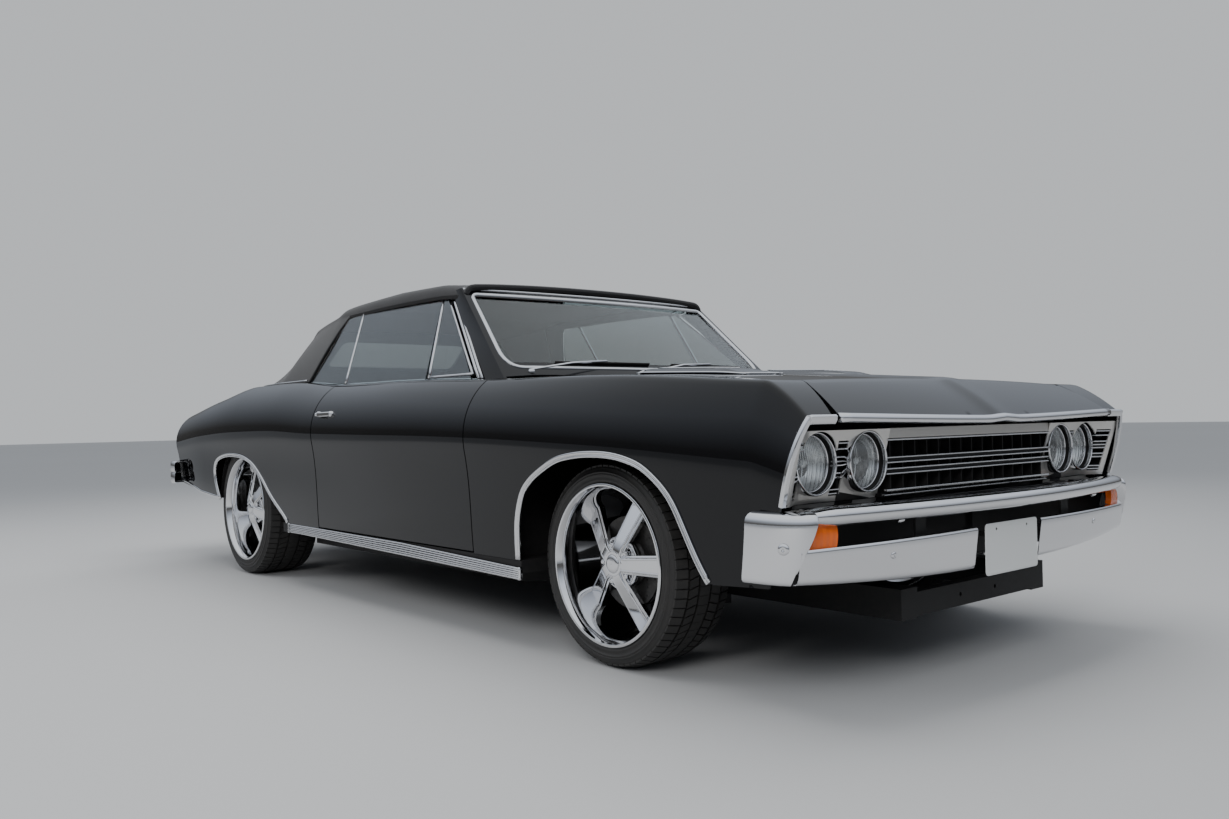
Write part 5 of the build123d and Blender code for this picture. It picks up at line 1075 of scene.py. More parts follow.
# from the end of the bar round to the side, one long sweep
pod_plan = lambda t: curve_through((2.4110, 0.872), (2.392, 0.9525), (2.235, 0.9560), t)
BLADE_Y0, BLADE_Y1 = 0.187, 0.912
low_z = lambda y: 0.318 + 0.035 * (np.minimum(np.abs(y), 0.96) / 0.96) ** 2
for side in (1, -1):
    rows = []
    heights = [(0.348, 0.010), (0.3505, 0.004), (0.356, 0.0008), (0.364, 0.0),
               *((z, 0.0) for z in np.linspace(0.380, 0.500, 12)), (0.510, 0.0010), (0.5185, 0.0040),
               (0.5255, 0.0095), (0.5305, 0.0175), (0.5335, 0.0300), (0.5345, 0.0600)]
    for z, inset in heights:
        # low down the pod starts farther out, so a slanting facet falls back to the blade
        start = 0.42 * (0.505 - min(z, 0.505)) / 0.160
        first = pod_plan(np.array(start))
        facet = (float(first[0]) - 0.030 - 0.010 * start, float(first[1]) - 0.026)
        plan = along_path([facet] + [tuple(p) for p in pod_plan(np.linspace(start, 1, 30))], 36)
        away = plan - np.array([2.320, 0.840])
        plan = plan - away / np.linalg.norm(away, axis=1)[:, None] * inset
        plan[:, 0] -= 0.016 * max(0.0, (0.500 - z) / 0.160) ** 1.3
        rows.append([(x, side * y, z) for x, y in plan])
    shapes.append(sheet_between(rows, 0.003))
    rows = []
    for y in np.linspace(BLADE_Y0, BLADE_Y1, 40):
        set_back = 0.018 + 0.036 * ((BLADE_Y1 - y) / (BLADE_Y1 - BLADE_Y0)) ** 1.2
        x, bottom, top = float(bow(y)) - set_back, float(low_z(y)), 0.4425 - 0.004 * (y - BLADE_Y0)
        section = [(-0.030, bottom), (-0.022, bottom + 0.0005), (-0.016, bottom + 0.004),
                   (-0.013, bottom + 0.012),
                   *((-0.012 + 0.012 * t, bottom + 0.018 + (top - bottom - 0.028) * t)
                     for t in np.linspace(0, 1, 6)),
                   (-0.001, top - 0.005), (-0.004, top - 0.0015), (-0.018, top)]
        rows.append([(x + dx, side * y, z) for dx, z in section])
    shapes.append(sheet_between(rows, 0.003))
# behind the bumper the body colour runs from the foot of the grille down and forward
apron_rows = [[(2.318 + 0.050 * t - 0.035 * (y / 0.9) ** 2, y, 0.541 - 0.038 * t)
               for t in (0, 0.35, 0.7, 1)] for y in np.linspace(-0.895, 0.895, 61)]
add_piece("front_apron", [sheet_between(apron_rows, 0.003, (0, 0, 1))], black_gloss, "body")
add_piece("front_bumper_bright", shapes, chrome, "body", "front_bumper",
          bevel=(0.001, 2, 40))


def dome(place, r, height, aim, steps=24):
    # a round bolt head facing along aim
    profile = [(r, -0.002), (r, height * 0.30), (r * 0.86, height * 0.70), (r * 0.55, height * 0.93),
               (r * 0.05, height), (r * 0.05, -0.002)]
    points, faces = spun(profile, steps)
    spin = Vector((0, 1, 0)).rotation_difference(Vector(aim).normalized())
    return [tuple(spin @ Vector(p) + Vector(place)) for p in points], faces


bolts = []
for side in (1, -1):
    bolts.append(dome((2.3475, side * 0.9365, 0.442), 0.0150, 0.007, (0.42, side * 0.90, -0.05)))
    bolts.append(dome((float(bow(0.582)) - 0.038, side * 0.582, 0.400), 0.0100, 0.006,
                      (1, side * 0.13, -0.1)))
    bolts.append(dome((float(bow(0.56)) - 0.030, side * 0.560, 0.493), 0.0110, 0.008, (0.4, 0, -1)))
add_piece("front_bumper_bolts", bolts, chrome, "body")
dark = [box_mesh((2.300, -0.012, 0.395), (2.4445, 0.012, 0.410))]
for side in (1, -1):
    inner_y, outer_y = side * 0.395, side * 0.445
    dark += [box_mesh((2.300, side * 0.02, 0.340), (2.3035, side * 0.900, 0.530)),
             box_mesh((2.300, inner_y, 0.345), (2.405, outer_y, 0.400)),
             box_mesh((2.397, inner_y, 0.345), (2.405, outer_y, 0.520)),
             box_mesh((2.397, inner_y, 0.505), (2.446, outer_y, 0.518))]
add_piece("front_bumper_brackets", dark, satin_black, "body", bevel=(0.001,),
          smooth=False)
signals = []
for side in (1, -1):
    rows = []
    for z in np.linspace(0.4385, 0.4985, 5):
        rows.append([(float(bow(y)) - 0.030 - 0.004 * ((z - 0.4685) / 0.03) ** 2, side * y, z)
                     for y in np.linspace(0.783, 0.884, 12)])
    signals.append(sheet_between(rows, 0.020))
add_piece("front_signal_lenses", signals, amber_lens, "body", bevel=(0.0015,))

# The two plates carry nothing: each is a pale pressed sheet with a raised rim and two slots,
# hung in front of the bumper's gap and in the middle of the tail.
plate_white = textured("plate_white", {"Base Color": (0.62, 0.63, 0.62, 1)},
                       roughness=("Noise", {"Scale": 40.0}, 0.28, 0.45))
PLATE_HALF_W, PLATE_HALF_H, PLATE_CORNER, PLATE_T = 0.1525, 0.076, 0.012, 0.0015
for word, x, z, way in (("front", 2.446, 0.372, 1), ("rear", -2.4330, 0.6580, -1)):
    outline = []
    for cy, cz, start in ((1, 1, 0), (-1, 1, 90), (-1, -1, 180), (1, -1, 270)):
        for k in range(5):
            a = math.radians(start + 22.5 * k)
            outline.append((cy * (PLATE_HALF_W - PLATE_CORNER) + PLATE_CORNER * math.cos(a),
                            cz * (PLATE_HALF_H - PLATE_CORNER) + PLATE_CORNER * math.sin(a)))

    def plate_face(a, b, x=x, z=z, way=way):
        rim = np.minimum(PLATE_HALF_W - np.abs(a), PLATE_HALF_H - np.abs(b))
        rise = 0.0015 * np.exp(-((rim - 0.0065) / 0.0028) ** 2)
        return np.stack([x + way * rise, a, z + b], -1)

    back = lambda a, b, x=x, z=z, way=way: np.stack([x - way * PLATE_T + 0 * a, a, z + b], -1)
    slots = [circle(cy, 0.058, 0.0045, 12) for cy in (-0.089, 0.089)]
    fit(add_panel(word + "_plate", outline, plate_face, back, 0.0035, plate_white, 1, 0, slots), "body")

# Windshield, rear window and side windows are thin clear panes. The windshield is bent round a vertical
# curve, has rounded lower corners and sits in a bright moulding; the posts carry two bright strips each.
clear_glass = textured("clear_glass", {
    "Base Color": (0.80, 0.88, 0.88, 1), "Transmission Weight": 1.0, "IOR": 1.45,
}, roughness=("Noise", {"Scale": 3.5, "Detail": 6.0}, 0.0, 0.025))


def screen_point(y, z, back=0.0):
    y, z = np.asarray(y, float), np.asarray(z, float)
    t = (z - 0.934) / 0.388
    corner_x, corner_y, centre_x = 0.870 - 0.415 * t, 0.757 - 0.079 * t, 0.935 - 0.435 * t
    x = corner_x + (centre_x - corner_x) * (1 - (y / corner_y) ** 2) - back
    return np.stack([x, y, z], -1)


def rounded_outline(points, radii, steps=7):
    # a closed outline with each corner rounded by its own amount
    found = []
    n = len(points)
    for k in range(n):
        here, r = Vector(points[k]), radii[k]
        a = (Vector(points[k - 1]) - here).normalized() * r + here
        b = (Vector(points[(k + 1) % n]) - here).normalized() * r + here
        for i in range(steps):
            t = i / (steps - 1)
            found.append(tuple(a * (1 - t) ** 2 + here * 2 * t * (1 - t) + b * t * t))
    return found


pane_outline = rounded_outline([(-0.716, 0.980), (0.716, 0.980), (0.650, 1.296), (-0.650, 1.296)],
                               [0.075, 0.075, 0.022, 0.022])
fit(add_panel("windshield_pane", pane_outline, lambda a, b: screen_point(a, b, 0.008),
              lambda a, b: screen_point(a, b, 0.013), 0.03, clear_glass, 1, 0), "body",
    "fixed_glass")


def moulding_on(surface, outline, profile, centre, step=0.02):
    # a closed strip laid along an outline on a surface that goes round a centre
    path = dense(outline, step)
    spots = [surface(a, b) for a, b in path]
    ups = [Vector(normals_of(surface, a, b, 0.003, spot - centre)) for (a, b), spot in zip(path, spots)]
    return ribbon(spots, profile, ups, closed=True)


strip = [(-0.009, -0.010), (0.009, -0.010), (0.009, 0.002), (0.006, 0.0050), (0.001, 0.0060),
         (-0.005, 0.0045), (-0.009, 0.000)]
add_piece("windshield_moulding", [moulding_on(screen_point, pane_outline, strip, np.array([0, 0, 1]))],
          chrome, "body")
strips = []
for side in (1, -1):
    for back, out in ((0.0, 0.0), (-0.020, -0.010)):
        path = [(0.758 - 0.409 * t - back * 0.9, side * (0.7975 - 0.145 * t + out * 0.35),
                 0.938 + 0.366 * t) for t in np.linspace(0, 1, 9)]
        strips.append(ribbon(path, eased_strip(0.0055, -0.004, 0.002, 0.003, 0.0042), (0.35, side, 0.25)))
header_path = [tuple(screen_point(y, 1.3175) + np.array([0.001, 0, 0.0]))
               for y in np.linspace(-0.674, 0.674, 25)]
strips.append(ribbon(header_path, half_round(0.010, 0.005), (1, 0, 0.6)))
add_piece("post_mouldings", strips, chrome, "body")
REAR_MIDDLE, REAR_UP, REAR_OUT = np.array([(-1.310, 0, 1.165), (0.7963, 0, 0.6048), (-0.6048, 0, 0.7963)])
rear_point = lambda a, b, out=0.0: (REAR_MIDDLE + np.asarray(a)[..., None] * np.array([0, 1, 0])
                                    + np.asarray(b)[..., None] * REAR_UP + out * REAR_OUT)
rear_outline = rounded_outline([(-0.410, -0.125), (0.410, -0.125), (0.395, 0.125), (-0.395, 0.125)],
                               [0.05] * 4)
fit(add_panel("rear_window_pane", rear_outline, lambda a, b: rear_point(a, b, -0.004),
              lambda a, b: rear_point(a, b, -0.008), 0.05, clear_glass, 1, 0), "body")

# The side windows are flat panes that lie in one plane on each side, leaning in from the belt. Bright
# rolled bars edge the vent window, part it from the door's pane and close the pane's rear edge.
def flipped(mesh, side):
    # a mesh made for the left side, moved to either side
    return [(x, side * y, z) for x, y, z in mesh[0]], mesh[1]


GLASS_LEAN = 0.43
side_pane_point = lambda x, z, out=0.0: np.stack([x, 0.800 - GLASS_LEAN * (z - 0.955) + out * 0.92 + 0 * x,
                                                  z + out * 0.39], -1)
# foot and head of each bar in x and z, and its share of the full width and depth
PANE_BARS = (((0.400, 0.950), (0.284, 1.292), 1, 1), ((0.722, 0.955), (0.330, 1.289), 0.7, 0.8),
             ((0.722, 0.957), (0.402, 0.957), 0.8, 1), ((-0.355, 0.955), (-0.4495, 1.300), 1, 1))
BAR_SHAPE = eased_strip(0.0065, -0.006, 0.004, 0.003, 0.0065)
pane_run = lambda start, end: [tuple(side_pane_point(*(np.array(start) * (1 - t) + np.array(end) * t)))
                               for t in np.linspace(0, 1, 8)]
QUARTER_PANE = [(-0.364, 0.965), (-0.459, 1.296), (-0.598, 1.283), (-0.642, 1.215), (-0.746, 0.988),
                (-0.740, 0.965)]
for side, word in SIDES:
    fit(add_panel(word + "_quarter_pane", QUARTER_PANE, lambda a, b: side_pane_point(a, b, 0.0025),
                  lambda a, b: side_pane_point(a, b, -0.0025), 0.06, clear_glass, side, 0), "body")
    recoat([word + "_door_glass"], clear_glass)
    vents = [flipped(ribbon(pane_run(start, end), [(a * wide, u * deep) for a, u in BAR_SHAPE],
                            (0, 0.92, 0.39)), side) for start, end, wide, deep in PANE_BARS]
    add_piece(word + "_window_bars", vents, chrome, word + "_door")

# The top is black cloth over padded bows: a roll at the front edge, two lengthwise seams, soft ridges
# over the bows and a flap that falls to the deck behind the windows.
TOP_ROWS = np.array([
    # x, roof y, roof z, crown z, rail y, rail z, base y
    (-1.505, 0.560, 1.012, 1.020, 0.640, 1.004, 0.712),
    (-1.356, 0.556, 1.124, 1.146, 0.622, 1.070, 0.745),
    (-1.181, 0.550, 1.240, 1.262, 0.600, 1.190, 0.772),
    (-1.117, 0.546, 1.286, 1.310, 0.592, 1.250, 0.783),
    (-0.969, 0.560, 1.304, 1.334, 0.610, 1.276, 0.788),
    (-0.793, 0.580, 1.322, 1.360, 0.634, 1.292, 0.794),
    (-0.679, 0.592, 1.350, 1.380, 0.648, 1.300, 0.797),
    (-0.414, 0.606, 1.362, 1.394, 0.657, 1.306, 0.799),
    (-0.123, 0.614, 1.368, 1.400, 0.661, 1.310, 0.800),
    (0.227, 0.622, 1.362, 1.391, 0.664, 1.308, 0.800),
    (0.400, 0.627, 1.340, 1.362, 0.667, 1.298, 0.800),
    (0.478, 0.630, 1.324, 1.340, 0.669, 1.290, 0.800),
])
ROOF_B, RAIL_B, BASE_B = 1.0, 1.25, 2.25


def top_point(x, b):
    x, b = np.broadcast_arrays(np.asarray(x, float), np.asarray(b, float))
    roof_y, roof_z, crown_z, rail_y, rail_z, base_y = [smooth_through(TOP_ROWS[:, 0], TOP_ROWS[:, c], x)
                                                       for c in range(1, 7)]
    side, a = np.sign(b), np.abs(b)
    y = np.clip(a, 0, 1) * roof_y
    z = crown_z - (crown_z - roof_z) * np.clip(a, 0, 1) ** 2.2
    t = np.clip((a - ROOF_B) / (RAIL_B - ROOF_B), 0, 1)
    turn_y, turn_z = rail_y - 0.004, roof_z + 0.10 * (rail_z - roof_z)
    y = np.where(a > 1, roof_y * (1 - t) ** 2 + turn_y * 2 * t * (1 - t) + rail_y * t * t, y)
    z = np.where(a > 1, roof_z * (1 - t) ** 2 + turn_z * 2 * t * (1 - t) + rail_z * t * t, z)
    s = np.clip(a - RAIL_B, 0, 1)
    y = np.where(a > RAIL_B, rail_y + (base_y - rail_y) * s + 0.008 * np.sin(math.pi * s), y)
    z = np.where(a > RAIL_B, rail_z + (0.986 - rail_z) * s, z)
    bows = sum(np.exp(-((x - at) / 0.022) ** 2) for at in (-0.123, -0.679, -1.117))
    sag = (np.sin(math.pi * np.clip((x + 0.679) / 0.556, 0, 1))
           + np.sin(math.pi * np.clip((x + 0.123) / 0.52, 0, 1)))
    roll = np.exp(-((x - 0.452) / 0.020) ** 2)
    z = z + np.clip((1.10 - a) / 0.25, 0, 1) * (0.0035 * bows - 0.004 * sag + 0.005 * roll)
    return np.stack([x, side * y, z], -1)


top_outline = [(0.482, RAIL_B), (0.20, RAIL_B), (-0.30, RAIL_B), (-0.600, RAIL_B + 0.02), (-0.640, 1.42),
               (-0.668, 1.60), (-0.715, 1.90), (-0.762, BASE_B), (-1.10, BASE_B), (-1.506, BASE_B)]
whole_outline = top_outline + [(x, -b) for x, b in reversed(top_outline)]
off_top = lambda depth: lambda a, b: top_point(a, b) - depth * top_normals(a, b)


def top_normals(x, b):
    return normals_of(top_point, x, b, 0.004, top_point(x, b) - np.stack([x, 0 * x, 0 * x + 0.9], -1))


def window_spot(y, up):
    # where a spot of the rear window lies in the top's own x and b
    x = float(rear_point(np.array(y), np.array(up))[0])
    roof_y = float(smooth_through(TOP_ROWS[:, 0], TOP_ROWS[:, 1], np.array([x]))[0])
    return x, y / roof_y


rear_hole = [window_spot(y, up) for y, up in rear_outline]
cloth = textured("top_cloth", {"Roughness": 0.88, "Specular IOR Level": 0.25, "Sheen Weight": 0.15},
                 colour=("Noise", {"Scale": 7.0, "Detail": 5.0}, (0.009, 0.009, 0.010, 1),
                         (0.020, 0.020, 0.021, 1)),
                 relief=("Noise", {"Scale": 900.0, "Detail": 2.0}, 0.45, 0.0006))
fit(add_panel("top_cloth", whole_outline, top_point, off_top(0.009), 0.022, cloth, 1, 0.003, [rear_hole]),
    "body", "soft_top")
lining_cloth = textured("lining_cloth", {"Roughness": 0.95},
                        colour=("Noise", {"Scale": 300.0}, (0.16, 0.16, 0.17, 1), (0.24, 0.24, 0.25, 1)))
lining_outline = [(0.440, 1.08), (-0.600, 1.08), (-0.720, 1.20), (-0.800, 1.90), (-1.10, 1.90),
                  (-1.12, 1.00)]
fit(add_panel("top_lining", lining_outline + [(x, -b) for x, b in reversed(lining_outline)], off_top(0.026),
              off_top(0.029), 0.028, lining_cloth, 1, 0), "body")
seams = []
for b in (-0.66, 0.66):
    xs = np.linspace(0.44, -1.12, 60)
    spots = top_point(xs, np.full(60, b))
    ups = [Vector(n) for n in top_normals(xs, np.full(60, b))]
    seams.append(ribbon([Vector(p) + n * 0.0002 for p, n in zip(spots, ups)],
                        [(-0.008, -0.001), (0.008, -0.001), (0.008, 0.0012), (-0.008, 0.0012)], ups))
for side in (1, -1):
    # the binding down the edge of the flap and round the foot
    edge = [(-0.600, RAIL_B + 0.02), (-0.640, 1.42), (-0.668, 1.60), (-0.715, 1.90),
            (-0.762, BASE_B - 0.02)]
    edge = np.array(rounded_path(edge, 2))
    spots = top_point(edge[:, 0], side * edge[:, 1])
    ups = [Vector(n) for n in top_normals(edge[:, 0], side * edge[:, 1])]
    seams.append(ribbon(spots, eased_strip(0.010, -0.004, 0.003, 0.004, 0.0048), ups))
roll_path = [tuple(top_point(0.470, b) + np.array([0.006, 0, 0.001])) for b in np.linspace(-1.24, 1.24, 41)]
seams.append(ribbon(roll_path, [(-0.012, -0.012), (0.012, -0.012), (0.013, 0.000), (0.008, 0.009),
                                (0.0, 0.012), (-0.008, 0.009), (-0.013, 0.000)], (1, 0, 0.6)))
seams.append(ribbon([top_point(x, b) for x, b in rear_hole],
                    [(-0.010, -0.003), (0.010, -0.003), (0.010, 0.0025), (-0.010, 0.0025)], REAR_OUT,
                    closed=True))
add_piece("top_seams_and_bindings", seams, cloth, "body", bevel=(0.001,))
rubber_strips = []
for side in (1, -1):
    xs = np.linspace(0.430, -0.600, 30)
    rail = top_point(xs, np.full(30, side * RAIL_B))
    rubber_strips.append(ribbon([(x, y - side * 0.006, z - 0.004) for x, y, z in rail],
                                [(-0.008, -0.010), (0.008, -0.010), (0.009, 0.006), (-0.009, 0.006)],
                                (0, 0, 1)))
add_piece("window_weatherstrips", rubber_strips, satin_black, "body", bevel=(0.0015,))
feet = []
for side in (1, -1):
    xs = np.linspace(-0.770, -1.500, 30)
    foot = top_point(xs, np.full(30, side * (BASE_B - 0.01)))
    spots = [(x, y + side * 0.010, max(0.990, float(side_surface(x, INNER_B - 0.01)[2])) + 0.001)
             for x, y, z in foot]
    feet.append(ribbon(spots, half_round(0.012, 0.006), (0, 0, 1)))
spots = [(-1.516, y, float(deck_height(-1.516, y)) + 0.001) for y in np.linspace(-0.715, 0.715, 31)]
feet.append(ribbon(spots, half_round(0.012, 0.006), (0, 0, 1)))
add_piece("top_foot_moulding", feet, chrome, "body")

# Two bright wiper pivots on the cowl carry slim arms and dark rubber blades along the foot of the glass.
# The cowl behind the hood is a black pressing with a row of slots for the cabin's air.
wipers, blades = [], []
for pivot, elbow, tip in (((0.900, -0.655, 0.958), (0.887, -0.450, 0.992), (0.862, -0.260, 1.010)),
                          ((0.924, -0.060, 0.958), (0.910, 0.130, 0.994), (0.857, 0.340, 1.010))):
    wipers.append(dome(pivot, 0.013, 0.014, (0.5, 0, 1)))
    arm = [Vector(pivot) + Vector((0, 0, 0.010)), Vector(elbow) + Vector((0, 0, 0.006)),
           Vector(tip) + Vector((0.008, 0, 0))]
    wipers.append(ribbon([tuple(p) for p in arm],
                         [(-0.0045, 0), (0.0045, 0), (0.003, 0.004), (-0.003, 0.004)], (1, 0, 0.9)))
    ys = np.linspace(tip[1] - 0.235, tip[1] + 0.235, 14)
    line = screen_point(ys, 1.000 + 0 * ys) + np.array([0.004, 0, 0.002])
    blades.append(ribbon([tuple(p) for p in line],
                         [(-0.004, -0.004), (0.004, -0.004), (0.002, 0.006), (-0.002, 0.006)], (1, 0, 0.9)))
add_piece("wiper_arms", wipers, chrome, "body")
add_piece("wiper_blades", blades, satin_black, "body")
cowl_top = lambda a, b: np.stack([a, b, 0.9430 + 0.006 * (1 - (b / 0.75) ** 2) + 0 * a], -1)
cowl_outline = ([(1.002, -0.722), (1.002, 0.722)]
                + [(float(screen_point(y, 0.950)[0]) + 0.004, y) for y in np.linspace(0.745, -0.745, 21)])
cowl_slots = [[(0.952, y), (0.986, y), (0.986, y + 0.050), (0.952, y + 0.050)]
              for y in np.arange(-0.560, 0.530, 0.070) if abs(y + 0.025) > 0.06]
fit(add_panel("cowl_panel", cowl_outline, cowl_top, under(cowl_top, 0.004), 0.03, black_gloss, 1, 0.0008,
              cowl_slots), "body")

# The cabin is trimmed in red: two padded front seats and a rear bench with sewn pleats, red cards on
# the doors, red carpet, a black dashboard with round dials, and a thin black wheel with a bright ring.
red_leather = textured("red_leather", {"Roughness": 0.38},
                       relief=("Voronoi", {"Scale": 260.0}, 0.20, 0.0006),
                       colour=("Noise", {"Scale": 12.0, "Detail": 5.0}, (0.250, 0.010, 0.010, 1),
                               (0.360, 0.018, 0.014, 1)))
carpet = textured("red_carpet", {"Roughness": 0.95},
                  colour=("Noise", {"Scale": 420.0, "Detail": 3.0}, (0.100, 0.006, 0.006, 1),
                          (0.220, 0.012, 0.010, 1)))


def pillow(half, pleats, depth, steps):
    # a stuffed block with soft edges, its upper face sewn into lengthwise pleats
    a, b, c = half
    points = []
    n, m = steps
    power = lambda v, e: math.copysign(abs(v) ** e, v)
    for j in range(m + 1):
        v = -math.pi / 2 + math.pi * j / m
        for i in range(n):
            u = 2 * math.pi * i / n
            x = a * power(math.cos(v), 0.30) * power(math.cos(u), 0.28)
            y = b * power(math.cos(v), 0.30) * power(math.sin(u), 0.28)
            z = c * power(math.sin(v), 0.55)
            if z > 0 and pleats:
                near = min(1.0, max(0.0, (1 - abs(x / a)) * 6)) * min(1.0, max(0.0, (1 - abs(y / b)) * 9))
                z -= depth * near * (1 - abs(math.sin(math.pi * pleats * (y / b + 1) / 2))) ** 2 * 1.6
                z += 0.010 * near * (1 - (x / a) ** 2)
            points.append((x, y, z))
    return points, skinned(m + 1, n)


def set_pillow(name, half, pleats, place, lean, stands_for=None):
    # lean turns the block about the line across the car, in degrees
    points, faces = pillow(half, pleats, 0.007, (96, 40))
    turn = Matrix.Rotation(math.radians(lean), 3, "Y")
    thing = new_mesh(name, [turn @ Vector(p) + Vector(place) for p in points], faces, red_leather)
    fit(fix_normals(thing), "body", stands_for)


SEAT_Y, SEAT_FRAME_HALF = 0.405, 0.215
for side, word in SIDES:
    middle = side * SEAT_Y
    set_pillow(word + "_seat_cushion", (0.235, 0.243, 0.072), 8, (0.105, middle, 0.398), -4.5,
               "seats" if side == 1 else None)
    set_pillow(word + "_seat_back", (0.232, 0.240, 0.052), 8, (-0.262, middle, 0.650), 69.0)
    points = [(x, middle + y, z) for y in (-SEAT_FRAME_HALF, SEAT_FRAME_HALF)
              for x, z in ((0.28, 0.306), (0.30, 0.335), (-0.12, 0.345), (-0.24, 0.306))]
    add_piece(word + "_seat_frame", [(points, skinned(2, 4, capped=True))], satin_black, "body",
              bevel=(0.003,), smooth=False)
set_pillow("rear_seat_cushion", (0.190, 0.560, 0.072), 18, (-0.735, 0.0, 0.425), -4.0)
set_pillow("rear_seat_back", (0.185, 0.560, 0.050), 18, (-1.005, 0.0, 0.680), 75.0)

lamina = [box_mesh((-0.960, -0.157, 0.4205), (0.380, 0.157, 0.4265)),
          box_mesh((0.375, -0.157, 0.4805), (0.900, 0.157, 0.4865)),
          box_mesh((0.370, -0.157, 0.420), (0.380, 0.157, 0.4865))]
for side in (1, -1):
    lamina += [box_mesh((-0.86, side * 0.156, 0.3045), (0.900, side * 0.745, 0.311)),
               box_mesh((-0.96, side * 0.151, 0.306), (0.380, side * 0.157, 0.424))]
add_piece("cabin_carpet", lamina, carpet, "body", bevel=(0.002,), smooth=False)

# Red cards line the doors and the quarters: pleated boards with a padded rest, a window crank and
# a plated strip on the doors.
CARD_Y = 0.770
upright = lambda y: lambda a, b: np.stack([a, y + 0 * a, b], -1)
for side, word in SIDES:
    def card_face(a, b):
        swell = 0.010 * np.clip(np.minimum(0.905 - b, b - 0.36) * 30, 0, 1)
        pleat = 0.0035 * (1 - np.abs(np.sin(a * math.pi / 0.055))) * ((b > 0.50) & (b < 0.78))
        return np.stack([a, CARD_Y - swell + pleat, b], -1)

    fit(add_panel(word + "_door_card", [(0.690, 0.350), (0.690, 0.905), (-0.325, 0.915), (-0.325, 0.350)],
                  card_face, upright(CARD_Y + 0.0042), 0.009, red_leather, side, 0), word + "_door")
    points, faces = pillow((0.150, 0.026, 0.020), 0, 0, (40, 16))
    rest = [(x + 0.100, side * 0.738 + y, z + 0.640) for x, y, z in points]
    add_piece(word + "_door_armrest", [(rest, faces)], red_leather, word + "_door")
    bits = [flipped(ribbon([(0.67, 0.7585, 0.800), (-0.31, 0.7585, 0.800)], half_round(0.008, 0.003),
                           (0, -1, 0)), side),
            dome((0.330, side * 0.757, 0.560), 0.016, 0.014, (0, -side, 0)),
            flipped(box_mesh((0.326, 0.738, 0.545), (0.430, 0.745, 0.560)), side)]
    add_piece(word + "_door_card_trim", bits, chrome, word + "_door")
    fit(add_panel(word + "_quarter_card", [(-0.395, 0.345), (-0.395, 0.925), (-0.950, 0.925),
                                           (-0.950, 0.345)], upright(CARD_Y), upright(CARD_Y + 0.0045),
                  0.05, red_leather, side, 0.001), "body")

# The dashboard is a black casting under a padded roll, with five bright dial rings and two thin strips.
# The thin wheel has a plated horn ring and a domed button on its hub.
dash_black = textured("dash_black", {"Base Color": (0.012, 0.012, 0.013, 1), "Roughness": 0.50},
                      relief=("Voronoi", {"Scale": 380.0}, 0.25, 0.0005))
pad_half = [(0.905, 0.922), (0.680, 0.910), (0.640, 0.900), (0.612, 0.880), (0.604, 0.858), (0.612, 0.842),
            (0.628, 0.838), (0.640, 0.846), (0.905, 0.850)]
pad_points = [(x, y, z) for y in np.linspace(-0.690, 0.690, 24) for x, z in pad_half]
add_piece("dash_pad", [(pad_points, skinned(24, len(pad_half), capped=True))], dash_black, "body")
recoat(("dashboard", "steering_wheel"), dash_black)
DASH_FACE_X = 0.6185
dials = []
for y, z, r in ((0.475, 0.775, 0.046), (0.370, 0.780, 0.050), (0.265, 0.775, 0.046), (0.0, 0.770, 0.030),
                (-0.090, 0.770, 0.030)):
    ring = [(r - 0.006, -0.002), (r - 0.005, 0.006), (r, 0.006), (r + 0.002, 0.000), (r + 0.002, -0.002)]
    points, faces = spun(ring, 40)
    dials.append(([(DASH_FACE_X - py, y + px, z + pz) for px, py, pz in points], faces))
for low, high in ((0.7180, 0.7230), (0.8280, 0.8320)):
    dials.append(box_mesh((0.6145, -0.640, low), (0.6195, 0.640, high)))
add_piece("dash_rings", dials, chrome, "body")
HUB, COLUMN = Vector((0.500, 0.370, 0.820)), Vector((0.898343, 0.0, -0.439190))
HORN_R, WIRE_R = 0.128, 0.004
section = [(HORN_R + WIRE_R * math.cos(a), 0.012 + WIRE_R * math.sin(a))
           for a in np.linspace(0, 2 * math.pi, 9)[:-1]]
ring_points, ring_faces = spun(section, 72)
facing = Vector((0, 1, 0)).rotation_difference(-COLUMN)
parts = [([facing @ Vector(p) + HUB for p in ring_points], ring_faces),
         dome(HUB - COLUMN * 0.008, 0.040, 0.014, -COLUMN)]
add_piece("horn_ring", parts, chrome, "steering_wheel")

# Bright trim along the sides: stepped mouldings round the arches, a ribbed sill moulding with black
# grooves, a strip along the lower rear quarter, belt strips, and door handles with locks below them.
def on_side(spots, profile, side):
    # a strip laid along spots (x, b) of the side
    path = [side_surface(x, b) * (1, side, 1) for x, b in spots]
    ups = [Vector(normals_of(side_surface, x, b, 0.004, SIDE_FACING) * (1, side, 1)) for x, b in spots]
    return ribbon(path, profile, ups)


def even_path(points, step):
    long = np.linalg.norm(np.diff(points, axis=0), axis=1).sum()
    return along_path(points, max(3, int(long / step)))


def moved_out(path, amount):
    # shifts an open path of (x, z) sideways, away from the wheel
    path = np.array(path)
    along = np.gradient(path, axis=0)
    along /= np.linalg.norm(along, axis=1)[:, None]
    off = np.stack([along[:, 1], -along[:, 0]], -1)
    middle = path.mean(axis=0) - np.array([0, 0.15])
    if np.sum((path - middle) * off) < 0:
        off = -off
    return path + off * amount


